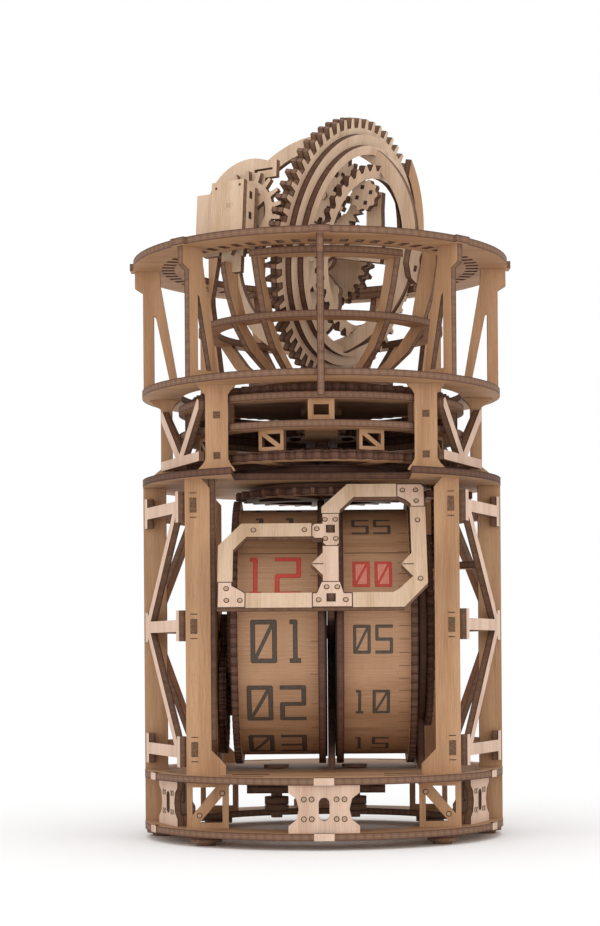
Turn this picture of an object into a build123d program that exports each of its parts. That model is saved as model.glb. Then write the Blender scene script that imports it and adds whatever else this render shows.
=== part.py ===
from build123d import *
import os
from math import atan2, cos, degrees, hypot, pi, radians, sin, sqrt

# ---------------------------------------------------------------- driving sizes, mm
T = 3.0                # plywood sheet
FOOT_H = 4.0           # feet lift the base ring off the table
BASE_H = 19.5          # open height between the base ring and the deck
MID_H = 36.0           # open height of the middle storey
GALLERY_H = 54.0       # open height of the gallery
RING_R = 79.0          # outer radius of the base, deck, train plate and gallery rings
RING_W = 18.0          # width of the base ring
TOP_OVER = 3.5         # the top ring reaches this far past the others
TOP_W = 22.5           # width of the top ring
DRUM_R = 58.0          # drum flanges
RIM = 4.0              # a flange stands this far above its drum face
SKIN = 1.5             # bent skin of a drum face
HOUR_W = 39.5          # the hour drum, outside its flanges
MINUTE_W = 33.9        # the minute drum, outside its flanges
CENTRE_X = 3.5         # middle of the bearing plate between the drums
DRUM_LOW = 2.0         # air below the drums
DRUM_TOP = 6.0         # room above the drums for the drive gear
WINDOW_TILT = 30.0     # windows lean back by this much
WINDOW_AIR = 4.7       # air between the drums and the window sheet
WINDOW_DROP = 3.0      # the windows are slid down their own slope by this much
SLIDE = 0.05           # radial running fit of every arbor in its bore
GAP = 0.3              # least air between pieces that move past each other
BRACE_AIR = 0.1        # a brace's fork lies this far off its column

UP = Vector(0, 0, 1)
BASE_Z = FOOT_H + T
DECK_Z = BASE_Z + BASE_H
DECK_TOP = DECK_Z + T
AXIS_Z = DECK_TOP + DRUM_LOW + DRUM_R
TRAIN_Z = AXIS_Z + DRUM_R + DRUM_TOP
TRAIN_TOP = TRAIN_Z + T
GALLERY_Z = TRAIN_TOP + MID_H
GALLERY_TOP = GALLERY_Z + T
TOP_Z = GALLERY_TOP + GALLERY_H
TOP_R = RING_R + TOP_OVER
TOP_IN = TOP_R - TOP_W
FACE_R = DRUM_R - RIM
WINDOW_D = DRUM_R + WINDOW_AIR + T / 2

# Along the drum arbor, from the plate between the drums outwards
HOUR_END = CENTRE_X - T / 2 - 1.0
HOUR_X = (HOUR_END - HOUR_W, HOUR_END)
MINUTE_END = CENTRE_X + T / 2 + 0.8
MIN_X = (MINUTE_END, MINUTE_END + MINUTE_W)
HOUR_WHEEL_X = HOUR_X[0] - T
LAY_WHEEL_X = HOUR_WHEEL_X - 0.7 - T
LEFT_X = LAY_WHEEL_X - 0.8 - T / 2
RIGHT_X = MIN_X[1] + 1.3 + T / 2
WHEEL_X = RIGHT_X + T / 2 + 0.4


# ---------------------------------------------------------------- drawing helpers
def around(angle, r, z=0.0):
    """A point at radius r, at an angle from the front that grows towards +X."""
    return Vector(r * sin(radians(angle)), -r * cos(radians(angle)), z)


def radial_plane(angle):
    """Upright plane through the centre line: x outwards, y up."""
    out = around(angle, 1)
    return Plane(origin=(0, 0, 0), x_dir=out, z_dir=out.cross(UP))


def facing_plane(angle, r):
    """Upright plane square to the radius: x sideways, y up."""
    out = around(angle, 1)
    return Plane(origin=around(angle, r), x_dir=UP.cross(out), z_dir=out)


def side_plane(x):
    """Upright plane square to the drum arbor: x backwards, y up."""
    return Plane(origin=(x, 0, 0), x_dir=(0, 1, 0), z_dir=(1, 0, 0))


def wall_plane(start, end):
    """Upright plane from start to end: x along it, y up."""
    along = (end - start).normalized()
    return Plane(origin=start, x_dir=along, z_dir=along.cross(UP))


def outline(points):
    return make_face(Polyline(*points, close=True))


def strip(start, end, width):
    """A straight bar of one width between two points of a sheet."""
    dx, dy = end[0] - start[0], end[1] - start[1]
    mid = Pos((start[0] + end[0]) / 2, (start[1] + end[1]) / 2)
    return mid * Rot(0, 0, degrees(atan2(dy, dx))) * Rectangle(hypot(dx, dy), width)


def block(x0, x1, y0, y1):
    """A rectangle by its sides."""
    return Pos((x0 + x1) / 2, (y0 + y1) / 2) * Rectangle(x1 - x0, y1 - y0)


def sheet(face, plane, thick=T):
    """A flat piece whose middle lies in the plane."""
    return extrude(plane * face, amount=thick / 2, both=True)


def level(face, z, thick=T):
    """A flat piece lying level with its underside at z."""
    return extrude(Pos(0, 0, z) * face, amount=thick)


def across(face, x0, x1):
    """A piece square to the drum arbor from x0 to x1, drawn around the arbor."""
    plane = Plane(origin=(x0, 0, AXIS_Z), x_dir=(0, 1, 0), z_dir=(1, 0, 0))
    return extrude(plane * face, amount=x1 - x0)


def toothed(teeth, root, tip, root_share, tip_share, phase=0.0):
    """A wheel outline. The shares say how much of a pitch a tooth fills at its root and tip."""
    pitch = 2 * pi / teeth
    corners = []
    for i in range(teeth):
        middle = i * pitch + radians(phase)
        for r, share in ((root, -root_share), (tip, -tip_share), (tip, tip_share), (root, root_share)):
            a = middle + share * pitch / 2
            corners.append((r * cos(a), r * sin(a)))
    return outline(corners)


def spur(teeth, module, phase=0.0):
    """A spur wheel or pinion with slim teeth, so that a pair runs with plenty of backlash."""
    pitch_r = teeth * module / 2
    return toothed(teeth, pitch_r - 1.2 * module, pitch_r + 0.85 * module, 0.50, 0.20, phase)


def web_holes(rim, hub, spokes, width, turn=0.0):
    """The openings between the spokes of a wheel."""
    holes = Circle(rim) - Circle(hub)
    for i in range(spokes):
        holes -= Rot(0, 0, turn + 360 * i / spokes) * Pos(rim / 2, 0) * Rectangle(rim + 1, width)
    return holes


def mirrored(piece):
    """The piece and its mirror images left to right and front to back."""
    left = mirror(piece, about=Plane.YZ)
    return [piece, left, mirror(piece, about=Plane.XZ), mirror(left, about=Plane.XZ)]


def save(name, *pieces):
    """Writes one node. Each separate solid stays separate."""
    solids = [solid for piece in pieces for solid in piece.solids()]
    whole = solids[0] if len(solids) == 1 else Compound(children=solids)
    export_step(whole, os.path.join("parts", name + ".step"))


os.makedirs("parts", exist_ok=True)

# ---------------------------------------------------------------- base
# Six feet, each a small round knob with a wider disc glued on it
FOOT_R = 6.5
KNOB_R = 4.0
KNOB_H = 1.4
feet = []
for angle in (45, -45, 135, -135, 90, -90):
    r = RING_R - (9 if angle % 90 else 7)
    place = Pos(*around(angle, r))
    feet.append(place * (level(Circle(KNOB_R), 0, KNOB_H) + level(Circle(FOOT_R), KNOB_H, FOOT_H - KNOB_H)))
save("feet", *feet)

# Brackets stand between the base ring and the deck and key into both
TAB_W = 8.3


def bracket(width, angle, r):
    """A waisted upright plate with one long slot and a tab above and below."""
    half = width / 2
    low, high = BASE_Z, DECK_Z
    side = [(half, low), (half, low + 3), (half - 3.2, low + 5.5), (half - 4.2, low + BASE_H / 2),
            (half - 3.2, high - 5.5), (half, high - 3), (half, high)]
    face = outline(side + [(-x, z) for x, z in reversed(side)])
    face += block(-TAB_W / 2, TAB_W / 2, low - T, high + T)
    face -= Pos(0, (low + high) / 2) * Rot(0, 0, 90) * SlotOverall(9.4, 4.4)
    return sheet(face, facing_plane(angle, r))


BRACKETS = [(29, 0, RING_R - 3.5), (29, 180, RING_R - 3.5)]
BRACKETS += [(25, angle, RING_R - 8) for angle in (67.5, -67.5, 112.5, -112.5)]
brackets = [bracket(*where) for where in BRACKETS]
save("base_brackets", *brackets)

# Upright columns: four in two planes square to the view, and a pair of posts at the sides
COLUMN_W = 10.5
COLUMN_EDGE = 4.1      # from a column's outer corner to the rim of the rings
COLUMN_IN = RIGHT_X + 1.5 * T
COLUMN_OUT = COLUMN_IN + COLUMN_W
COLUMN_Y = sqrt((RING_R - COLUMN_EDGE) ** 2 - COLUMN_OUT ** 2)
FOOT_IN = COLUMN_IN - 7
POST_W = 10.0
POST_IN = RING_R - POST_W
WINDER_X = (-21.0, 13.5)
WINDER_R = 2.5
tab_slots = [sheet(block(-TAB_W / 2, TAB_W / 2, BASE_Z - T - 1, DECK_TOP + 1), facing_plane(angle, r))
             for _, angle, r in BRACKETS]
base = level(Circle(RING_R) - Circle(RING_R - RING_W), FOOT_H)
deck = level(Circle(RING_R), DECK_Z)
for slot in tab_slots:
    base -= slot
    deck -= slot
for sx in (1, -1):
    deck -= level(block(*sorted((sx * POST_IN, sx * (RING_R + 1))), -T / 2, T / 2), DECK_Z)
    for sy in (1, -1):
        y = sy * COLUMN_Y
        deck -= level(block(*sorted((sx * COLUMN_IN, sx * COLUMN_OUT)), y - T / 2, y + T / 2), DECK_Z)
        at = Pos(sx * (COLUMN_IN - 14), sy * (RING_R - 17))
        slot = at * Rot(0, 0, -sx * sy * 12) * SlotOverall(17, 3.4)
        deck -= level(slot, DECK_Z)

save("base_ring", base)
for x in WINDER_X:
    deck -= level(Pos(x, 0) * Circle(WINDER_R + SLIDE), DECK_Z)
save("deck", deck)

# Two winding arbors hang through the deck into a bridge, each with a doubled knob
BRIDGE_Z = DECK_Z - 8.0
BRIDGE_X = (WINDER_X[0] - 13, WINDER_X[1] + 13.5)
WINDER_TOP = DECK_TOP + 1.5
bridge = level(block(*BRIDGE_X, -5.5, 5.5), BRIDGE_Z)
for x in (BRIDGE_X[0], BRIDGE_X[1] - T):
    bridge += level(block(x, x + T, -5.5, 5.5), BRIDGE_Z + T, DECK_Z - BRIDGE_Z - T)
for x in WINDER_X:
    bridge -= level(Pos(x, 0) * Circle(WINDER_R + SLIDE), BRIDGE_Z)
save("winder_bridge", bridge)
KNOB_Z = BRIDGE_Z - 8.9
for name, x in zip(("left_winder", "right_winder"), WINDER_X):
    at = Pos(x, 0)
    winder = level(at * Circle(WINDER_R), KNOB_Z - 2, WINDER_TOP - KNOB_Z + 2)
    winder += level(at * Circle(WINDER_R + 2.8), KNOB_Z, 3.4)
    winder += level(at * Circle(WINDER_R + 2.2), KNOB_Z + 3.4, 0.4)
    winder += level(at * Circle(WINDER_R + 2.8), KNOB_Z + 3.8, 3.4)
    winder += level(at * Circle(WINDER_R + 3.0), DECK_TOP + GAP, WINDER_TOP - DECK_TOP - GAP)
    save(name, winder)

column_face = outline([
    (FOOT_IN, BASE_Z), (COLUMN_OUT, BASE_Z), (COLUMN_OUT, TRAIN_Z), (COLUMN_IN + 3.5, TRAIN_Z),
    (COLUMN_IN, TRAIN_Z - 4), (COLUMN_IN, DECK_TOP + 10.2), (FOOT_IN + 1, DECK_TOP + 4),
    (FOOT_IN + 1, DECK_TOP), (COLUMN_IN, DECK_TOP), (COLUMN_IN, DECK_Z), (FOOT_IN, DECK_Z),
])
low, high, edge = BASE_Z + 2.4, DECK_Z - 2.3, COLUMN_OUT - 2.3
column_face -= outline([(FOOT_IN + 2.6, low), (FOOT_IN + 2.6, high - 3.8), (edge - 3.0, low)])
column_face -= outline([(edge, high), (edge, low + 3.2), (FOOT_IN + 5.2, high)])
front_right = sheet(column_face, facing_plane(0, COLUMN_Y))
columns = mirrored(front_right)
save("columns", *columns)

post_face = block(POST_IN, RING_R, BASE_Z, TRAIN_Z)
posts = [sheet(post_face, radial_plane(90)), sheet(post_face, radial_plane(-90))]
save("side_posts", *posts)


# Light zigzag braces from each side post to each column, forked around the column's edge
def brace_plane(post_x, edge_x, edge_y):
    """Upright plane from a side post that just passes the outer edge of a column."""
    start = Vector(post_x, -T / 2 - 0.62)
    edge = Vector(edge_x, edge_y)
    along = (edge - start).normalized()
    outward = Vector(-along.Y, along.X)
    end = edge + outward * (T / 2 + BRACE_AIR)
    return wall_plane(start, end), (end - start).length


plane, reach = brace_plane(RING_R - 2, COLUMN_OUT, -COLUMN_Y + T / 2)
LEVELS = (DECK_TOP + 9.5, AXIS_Z + 2.5, TRAIN_Z - 11.5)
brace = Sketch()
for z in LEVELS:
    brace += strip((0, z), (reach, z), 5.0)
    brace += block(reach - 4, reach, z - 6.5, z + 6.5)
    brace += block(0, 4, z - 6.5, z + 6.5)
for z0, z1 in ((LEVELS[2], LEVELS[1]), (LEVELS[0], LEVELS[1])):
    brace += strip((reach - 3, z0), (3, z1), 4.2)
save("side_braces", *mirrored(sheet(brace, plane)))

# ---------------------------------------------------------------- drums and their bearings
ARBOR_R = 3.0
LAY_R = 2.0
LAY_M = 1.0
MINUTE_TEETH, MINUTE_M = 54, 1.5
PITCH_R = MINUTE_TEETH * MINUTE_M / 2
LAY_DROP = (15 + 45) * LAY_M / 2   # from the drum arbor down to the motion layshaft

# A slim stiffener behind the left front column
behind_y = -COLUMN_Y + T / 2
stiff = outline([(behind_y, DECK_TOP + 14.5), (behind_y + 4.5, DECK_TOP + 9),
                 (behind_y + 9.5, DECK_TOP + 16.5), (behind_y + 9.5, TRAIN_Z), (behind_y, TRAIN_Z)])
save("left_stiffener", sheet(stiff, side_plane(LEFT_X + 1.1)))

left_foot = COLUMN_Y - 21
left = outline([(-left_foot, DECK_TOP), (left_foot, DECK_TOP), (15, AXIS_Z + 6.5), (7, AXIS_Z + 14.5),
                (-7, AXIS_Z + 14.5), (-15, AXIS_Z + 6.5)])
left -= outline([(-14, DECK_TOP + 6.5), (14, DECK_TOP + 6.5), (6, DECK_TOP + 20.5), (-6, DECK_TOP + 20.5)])
left -= Pos(0, AXIS_Z) * Circle(ARBOR_R + SLIDE)
left -= Pos(0, AXIS_Z - LAY_DROP) * Circle(LAY_R + SLIDE)
save("left_bearing_plate", sheet(left, side_plane(LEFT_X)))

# The centre plate stands between the drums and carries the windows on a forked arm
ARM = WINDOW_D - T / 2
TENON_UP, TENON_LOW = 14.2, -19.5
TENON_W = 3.2
centre = outline([(-24, DECK_TOP), (24, DECK_TOP), (11, AXIS_Z - 19.5), (11, AXIS_Z + 8.5),
                  (-11, AXIS_Z + 8.5), (-11, AXIS_Z - 19.5)])
far, near = WINDOW_DROP - TENON_LOW, WINDOW_DROP - TENON_UP
arm = outline([(0, 13), (ARM, far + 4), (ARM, far - 4), (22, 2), (ARM, near + 4), (ARM, near - 4), (0, -13)])
for v in (far, near):
    arm += block(ARM - 1, ARM + T, v - TENON_W / 2, v + TENON_W / 2)
centre += Pos(0, AXIS_Z) * Rot(0, 0, 180 - WINDOW_TILT) * arm
centre -= Pos(0, AXIS_Z) * Circle(ARBOR_R + SLIDE)
save("centre_bearing_plate", sheet(centre, side_plane(CENTRE_X)))

right = Pos(0, AXIS_Z) * Circle(PITCH_R)
right += outline([(-17, DECK_TOP), (17, DECK_TOP), (11, AXIS_Z - 29.5), (-11, AXIS_Z - 29.5)])
for i in range(4):
    right -= Pos(0, AXIS_Z) * Rot(0, 0, 45 + 90 * i) * Pos(PITCH_R - 16.5, 0) * Circle(9)
right -= Pos(0, AXIS_Z) * Circle(ARBOR_R + SLIDE)
save("right_bearing_plate", sheet(right, side_plane(RIGHT_X)))

# Each drum is a bent skin between two spoked flanges, the outer one notched all round
NOTCHES = 90
spokes = web_holes(DRUM_R - 12, 9, 6, 7)
plain = Circle(DRUM_R) - spokes
notched = toothed(NOTCHES, DRUM_R - 1.4, DRUM_R, 0.66, 0.56) - spokes
loose = Circle(ARBOR_R + SLIDE)
tight = Circle(ARBOR_R)
skin = Circle(FACE_R) - Circle(FACE_R - SKIN)
save("hour_drum_face", across(skin, HOUR_X[0] + T, HOUR_X[1] - T))
save("hour_drum_flanges", across(notched - loose, HOUR_X[0], HOUR_X[0] + T),
     across(plain - loose, HOUR_X[1] - T, HOUR_X[1]))
save("minute_drum_face", across(skin, MIN_X[0] + T, MIN_X[1] - T))
save("minute_drum_flanges", across(plain - tight, MIN_X[0], MIN_X[0] + T),
     across(notched - tight, MIN_X[1] - T, MIN_X[1]))

minute = spur(MINUTE_TEETH, MINUTE_M, 90.0) - web_holes(PITCH_R - 7.5, 8, 4, 7) - tight
save("minute_wheel", across(minute, WHEEL_X, WHEEL_X + T))
save("drum_arbor", across(Circle(ARBOR_R), LEFT_X - T / 2, WHEEL_X + T + 0.8))

# Motion work on the left: 15 drives 45, 12 drives 48, so the hour drum turns once in twelve
below = Pos(0, -LAY_DROP)
save("motion_pinion", across(spur(15, LAY_M, -90) - tight, LAY_WHEEL_X, LAY_WHEEL_X + T))
save("hour_wheel", across(spur(48, LAY_M, -90) - web_holes(17, 8, 4, 5) - loose, HOUR_WHEEL_X, HOUR_X[0]))
lay_wheel = spur(45, LAY_M, 90 + 180 / 45) - web_holes(16, 6, 4, 5, 45) - Circle(LAY_R)
lay_pinion = spur(12, LAY_M, 90 + 180 / 12) - Circle(LAY_R)
save("motion_lay",
     across(below * lay_wheel, LAY_WHEEL_X, LAY_WHEEL_X + T),
     across(below * lay_pinion, LAY_WHEEL_X + T, HOUR_X[0] - GAP - 0.1),
     across(below * Circle(LAY_R), LEFT_X - T / 2, HOUR_X[0] - GAP - 0.1))

# ---------------------------------------------------------------- windows
lean = radians(WINDOW_TILT)
window_out = Vector(0, -cos(lean), sin(lean))
window_up = Vector(0, sin(lean), cos(lean))
window_plane = Plane(origin=Vector(0, 0, AXIS_Z) + window_out * WINDOW_D - window_up * WINDOW_DROP,
                     x_dir=(1, 0, 0), z_dir=window_out)
LOW, BAR_TOP = -24.2, -17.1       # lower rail of both windows
L, C, R = HOUR_X[0] - 4.8, CENTRE_X, MIN_X[1] + 3.7
hour = outline([(L + 11.7, LOW), (C - 7.9, LOW), (C - 7.9, BAR_TOP), (L + 11.7, BAR_TOP)])
hour += outline([(L, -11.6), (L + 6.2, -11.6), (L + 6.2, 3.9), (L + 11.8, 10.5), (C - 8.0, 10.5),
                 (C - 8.0, 17.1), (L + 9.5, 17.1), (L, 6.2)])
corner_left = outline([(L, LOW), (L + 11.7, LOW), (L + 11.7, BAR_TOP), (L + 9.8, -15.6), (L + 6.2, -13.4),
                       (L + 6.2, -11.6), (L, -11.6)])
minute_frame = outline([
    (C + 8.9, LOW), (R - 9.9, LOW), (R, -12.8), (R, 25.0), (R - 6.4, 25.0), (R - 6.4, 1.9), (R - 10.8, -3.5),
    (R - 6.0, -9.4), (R - 11.9, -15.6), (R - 14.4, BAR_TOP), (C + 8.9, BAR_TOP)])
minute_frame += outline([(R - 11.9, 36.8), (C + 7.2, 36.8), (C - 3.7, 25.2), (C - 3.7, 22.1),
                         (C + 3.9, 22.1), (C + 3.9, 23.6), (C + 9.9, 30.2), (R - 11.9, 30.2)])
corner_right = outline([(R - 11.9, 36.8), (R - 11.9, 30.2), (R - 8.4, 28.4), (R - 6.4, 26.4),
                        (R - 6.4, 25.0), (R, 25.0), (R, 35.3), (R - 1.5, 36.8)])
upper_joint = outline([(C - 8.0, 10.5), (C - 6.8, 9.3), (C - 3.4, 9.3), (C - 3.4, 7.0), (C - 2.0, 5.6),
                       (C + 2.6, 5.6), (C + 3.9, 6.9), (C + 3.9, 22.1), (C - 3.7, 22.1), (C - 3.7, 17.1),
                       (C - 6.8, 17.1), (C - 8.0, 15.9)])
lower_joint = outline([(C - 7.9, LOW), (C + 8.9, LOW), (C + 8.9, BAR_TOP), (C + 5.5, BAR_TOP),
                       (C + 3.9, -11.6), (C - 4.0, -11.6), (C - 6.1, BAR_TOP), (C - 7.9, BAR_TOP)])
pointer = outline([(C - 3.3, -11.6), (C + 3.2, -11.6), (C + 3.2, 5.6), (C - 3.3, 5.6), (C - 3.3, 2.4),
                   (C - 8.1, -3.1), (C - 3.3, -8.6)])
tenon_x = (CENTRE_X - T / 2, CENTRE_X + T / 2)
upper_joint -= block(*tenon_x, TENON_UP - TENON_W / 2, TENON_UP + TENON_W / 2)
lower_joint -= block(*tenon_x, TENON_LOW - TENON_W / 2, TENON_LOW + TENON_W / 2)
save("hour_window", sheet(hour, window_plane))
save("minute_window", sheet(minute_frame, window_plane))
save("window_joints", *[sheet(f, window_plane)
                        for f in (upper_joint, lower_joint, pointer, corner_left, corner_right)])

# ---------------------------------------------------------------- train above the drums
DRIVE_Z = TRAIN_Z - 5.7
DRIVE_TEETH, TRANSFER_TEETH = 30, 12
RIGHT_ANGLE_TEETH = 6
MAIN_R = 3.0
ARBOR2_R = 2.0
TRANSFER_X = WHEEL_X + 6.0
DRIVE_M = TRANSFER_X / (DRIVE_TEETH + TRANSFER_TEETH) * 2
DRIVE_R = DRIVE_TEETH * DRIVE_M / 2
drive = spur(DRIVE_TEETH, DRIVE_M, 0) - web_holes(DRIVE_R - 8, 9, 5, 9, 18)
save("drive_gear", level(drive - Circle(MAIN_R), DRIVE_Z))

# Train plate: a full disc, cut back at the front between the columns
FRONT_CUT = COLUMN_IN - 10
train = level(Circle(RING_R) - block(-FRONT_CUT, FRONT_CUT, -RING_R - 1, 7 - COLUMN_Y), TRAIN_Z)
train -= level(Circle(MAIN_R + SLIDE) + Pos(TRANSFER_X, 0) * Circle(ARBOR2_R + SLIDE), TRAIN_Z)
save("train_plate", train)

# Right-angle step: a 6-leaf pinion stands beside the top of the minute wheel
PINION_Z = AXIS_Z + PITCH_R - 1.3
TRANSFER_Z = PINION_Z - 11.7
LEAF_ROOT, LEAF_TIP = 2.6, 5.7
transfer = Pos(TRANSFER_X, 0)
small = toothed(RIGHT_ANGLE_TEETH, LEAF_ROOT, LEAF_TIP, 0.34, 0.15, 180 + 180 / RIGHT_ANGLE_TEETH)
shaft = level(transfer * Circle(ARBOR2_R), TRANSFER_Z, TRAIN_TOP - TRANSFER_Z)
save("transfer_arbor", shaft + level(transfer * small, PINION_Z, 3.4))
big = spur(TRANSFER_TEETH, DRIVE_M, 180 + 180 / TRANSFER_TEETH) - Circle(ARBOR2_R)
save("transfer_wheel", level(transfer * big, DRIVE_Z))
bridge = block(WHEEL_X + T + 0.5, POST_IN, -6, 6) - transfer * Circle(ARBOR2_R + SLIDE)
save("transfer_bracket", level(bridge, TRANSFER_Z))

# Setting ring and the discs under it turn with the main arbor
SETTING_TEETH = 51
RACE_R = RING_R - 16.0
SETTING_R = RACE_R - 3.0
SETTING_Z = TRAIN_TOP + 4.0
low_disc = level(Circle(DRIVE_R - 6) - Circle(MAIN_R), DRIVE_Z + T, TRAIN_Z - 0.5 - DRIVE_Z - T)
high_disc = level(Circle(DRIVE_R - 3) - Circle(MAIN_R), TRAIN_TOP + GAP, SETTING_Z - TRAIN_TOP - GAP)
save("gear_discs", low_disc, high_disc)
lobes = toothed(SETTING_TEETH, SETTING_R - 2.4, SETTING_R, 0.70, 0.36)
save("setting_ring", level(lobes - web_holes(SETTING_R - 10, 10, 6, 8) - Circle(MAIN_R), SETTING_Z, 3.8))

MID_M = 1.25
MID_Y = (36 + 12) * MID_M / 2
RACE_Z = TRAIN_TOP + 17.0
RACE_GAP = 8.8
TRAIN1_Z, TRAIN2_Z = RACE_Z - 7.5, RACE_Z + 4.5
LAY_TOP = RACE_Z + 2 * T + RACE_GAP
behind = Pos(0, MID_Y)
save("train_wheel", level(spur(36, MID_M, 90) - web_holes(17, 7, 4, 5, 45) - Circle(MAIN_R), TRAIN1_Z))
save("train_lay",
     level(behind * Circle(2.5), TRAIN1_Z - 0.4, LAY_TOP - TRAIN1_Z + 0.4),
     level(behind * (spur(12, MID_M, -90 + 180 / 12) - Circle(2.5)), TRAIN1_Z - 0.4, 3.8),
     level(behind * (spur(32, MID_M, -90 + 180 / 32) - web_holes(15, 6, 4, 5, 45) - Circle(2.5)), TRAIN2_Z))

# ---------------------------------------------------------------- middle storey
MID_OUT = COLUMN_OUT - 9.0
MID_IN = MID_OUT - 9.5
MID_COL_Y = RING_R - 29.0
FLARE = ((3.0, 3.5, 0.0), (2.4, 2.7, 1.3), (1.0, 1.1, 2.9), (0.0, 0.0, 5.0))
edge = [(MID_OUT + out, TRAIN_TOP + z) for _, out, z in FLARE]
edge += [(MID_OUT + out, GALLERY_Z - 0.85 * z) for _, out, z in reversed(FLARE)]
edge += [(MID_IN - back, GALLERY_Z - 0.85 * z) for back, _, z in FLARE]
edge += [(MID_IN - back, TRAIN_TOP + z) for back, _, z in reversed(FLARE)]
mid = outline(edge)
for z in (TRAIN_TOP + 6.5, GALLERY_Z - 12.5):
    mid -= Pos((MID_IN + MID_OUT) / 2, z) * Rectangle(3, 3)
save("mid_columns", *mirrored(sheet(mid, facing_plane(0, MID_COL_Y))))
out, back = RING_R - 3, RING_R - 16.5
side = outline([(back, TRAIN_TOP), (out, TRAIN_TOP), (out - 2, TRAIN_TOP + 3), (out - 5, TRAIN_TOP + 5.5),
                (out - 5, GALLERY_Z - 4), (out - 2, GALLERY_Z - 1.9), (out, GALLERY_Z), (back, GALLERY_Z),
                (back + 2, GALLERY_Z - 1.9), (back + 3.5, GALLERY_Z - 4), (back + 3.5, TRAIN_TOP + 5.5),
                (back + 2, TRAIN_TOP + 3)])
save("mid_side_posts", sheet(side, radial_plane(90)), sheet(side, radial_plane(-90)))
plane, reach = brace_plane(RING_R - 9.5, MID_OUT, -MID_COL_Y + T / 2)
low, high = TRAIN_TOP + 6.5, GALLERY_Z - 6.5
vee = strip((0, high), (reach / 2, low), 4.5) + strip((reach / 2, low), (reach, high), 4.5)
vee += strip((0, low), (reach, low), 4.0)
vee &= block(0.4, reach, low - 2, high + 1)
save("mid_braces", *mirrored(sheet(vee, plane)))

# Two stacked rings tied to the columns, with spacers between and tabs below
race = Circle(RACE_R) - web_holes(RACE_R - 11.5, 9, 2, 14, 90)
for sx in (1, -1):
    for sy in (1, -1):
        y = sy * MID_COL_Y
        race -= block(*sorted((sx * MID_IN, sx * MID_OUT)), y - T / 2, y + T / 2)
race -= behind * Circle(2.5 + SLIDE)
SLEEVE_R = 6.0
save("lower_race", level(race - Circle(MAIN_R + SLIDE), RACE_Z))
save("upper_race", level(race - Circle(SLEEVE_R + SLIDE), RACE_Z + T + RACE_GAP))
spacer = block(-5.5, 5.5, RACE_Z + T, RACE_Z + T + RACE_GAP)
spacer -= block(-3.2, 3.2, RACE_Z + T + 2.2, RACE_Z + T + RACE_GAP - 2.2)
race_tabs = [sheet(spacer, facing_plane(45 * i, RACE_R - 4.5)) for i in range(8)]
tab = block(-5.7, 5.7, RACE_Z - 8.5, RACE_Z)
tab -= outline([(-4.2, RACE_Z - 7.0), (-4.2, RACE_Z - 2.3), (2.2, RACE_Z - 7.0)])
tab -= outline([(4.2, RACE_Z - 1.5), (4.2, RACE_Z - 6.2), (-2.2, RACE_Z - 1.5)])
race_tabs += [sheet(tab, facing_plane(22.5 + 45 * i, RACE_R - 9.5)) for i in range(8)]
save("race_tabs", *race_tabs)

# ---------------------------------------------------------------- gallery and top ring
save("gallery_ring", level(Circle(RING_R) - Circle(RING_R - 17), GALLERY_Z))
LEG_R = RING_R - 0.5
HEAD_R = TOP_R - 0.5
leg = outline([(LEG_R, GALLERY_TOP), (LEG_R, TOP_Z - 9.6), (HEAD_R, TOP_Z - 7.4), (HEAD_R, TOP_Z),
               (HEAD_R - 11, TOP_Z), (HEAD_R - 11.3, TOP_Z - 6.5), (LEG_R - 16, GALLERY_TOP)])
leg -= outline([(LEG_R - 4.7, GALLERY_TOP + 3.2), (LEG_R - 4.7, TOP_Z - 19.5), (LEG_R - 5.7, TOP_Z - 20.5),
                (LEG_R - 12.0, GALLERY_TOP + 3.2)])
tail = leg + outline([(RING_R, GALLERY_Z - 8), (RING_R + T, GALLERY_Z - 8), (RING_R + T, GALLERY_TOP + 5.5),
                      (LEG_R, GALLERY_TOP + 5.5), (LEG_R, GALLERY_TOP), (RING_R, GALLERY_TOP)])
legs = [sheet(tail if i in (0, 4) else leg, radial_plane(45 * i)) for i in range(8)]
save("gallery_posts", *legs)

SLOT_COUNT = 64
top = Circle(TOP_R)
for i in range(8):
    top += Rot(0, 0, 45 * i) * Pos(TOP_R - 2.5, 0) * Rectangle(8, 8)
top -= Circle(TOP_IN)
for i in range(SLOT_COUNT):
    top -= Rot(0, 0, (i + 0.5) * 360 / SLOT_COUNT) * Pos(TOP_IN + 7.2, 0) * Rectangle(5.6, 3.4)
save("top_ring", level(top, TOP_Z))

# ---------------------------------------------------------------- turning carriage
HUB_R = 32.0
HUB_Z = GALLERY_TOP + 1.0
MIDDLE_Z = GALLERY_TOP + 24.8
EQUATOR_Z = TOP_Z - 4.0
CAGE_Z = TOP_Z + 10.5
PIVOT_R = 2.5
CAGE_AZ, CAGE_EL = 58.0, -12.0
cage_o = Vector(0, 0, CAGE_Z)
n = Vector(cos(radians(CAGE_EL)) * sin(radians(CAGE_AZ)), -cos(radians(CAGE_EL)) * cos(radians(CAGE_AZ)),
           sin(radians(CAGE_EL)))
b = around(CAGE_AZ - 90, 1)
w = n.cross(b)
if w.Z < 0:
    w = w * -1


def cage_plane(s):
    """Plane square to the cage's own axis, s along it: x towards the front left, y up."""
    normal = b.cross(w)
    return Plane(origin=cage_o + n * s, x_dir=b, z_dir=normal)


hub = level(Circle(HUB_R) - web_holes(HUB_R - 5, 11, 8, 5), HUB_Z)
hub += level(Circle(SLEEVE_R), TRAIN2_Z - 1, HUB_Z + T - TRAIN2_Z + 1)
hub += level(spur(16, MID_M, 90), TRAIN2_Z)
hub -= level(Circle(MAIN_R + SLIDE), TRAIN2_Z - 2, HUB_Z - TRAIN2_Z + 2 * T)
save("carriage_hub", hub)
save("main_arbor", level(Circle(MAIN_R), DRIVE_Z, HUB_Z + T - DRIVE_Z))

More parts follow.
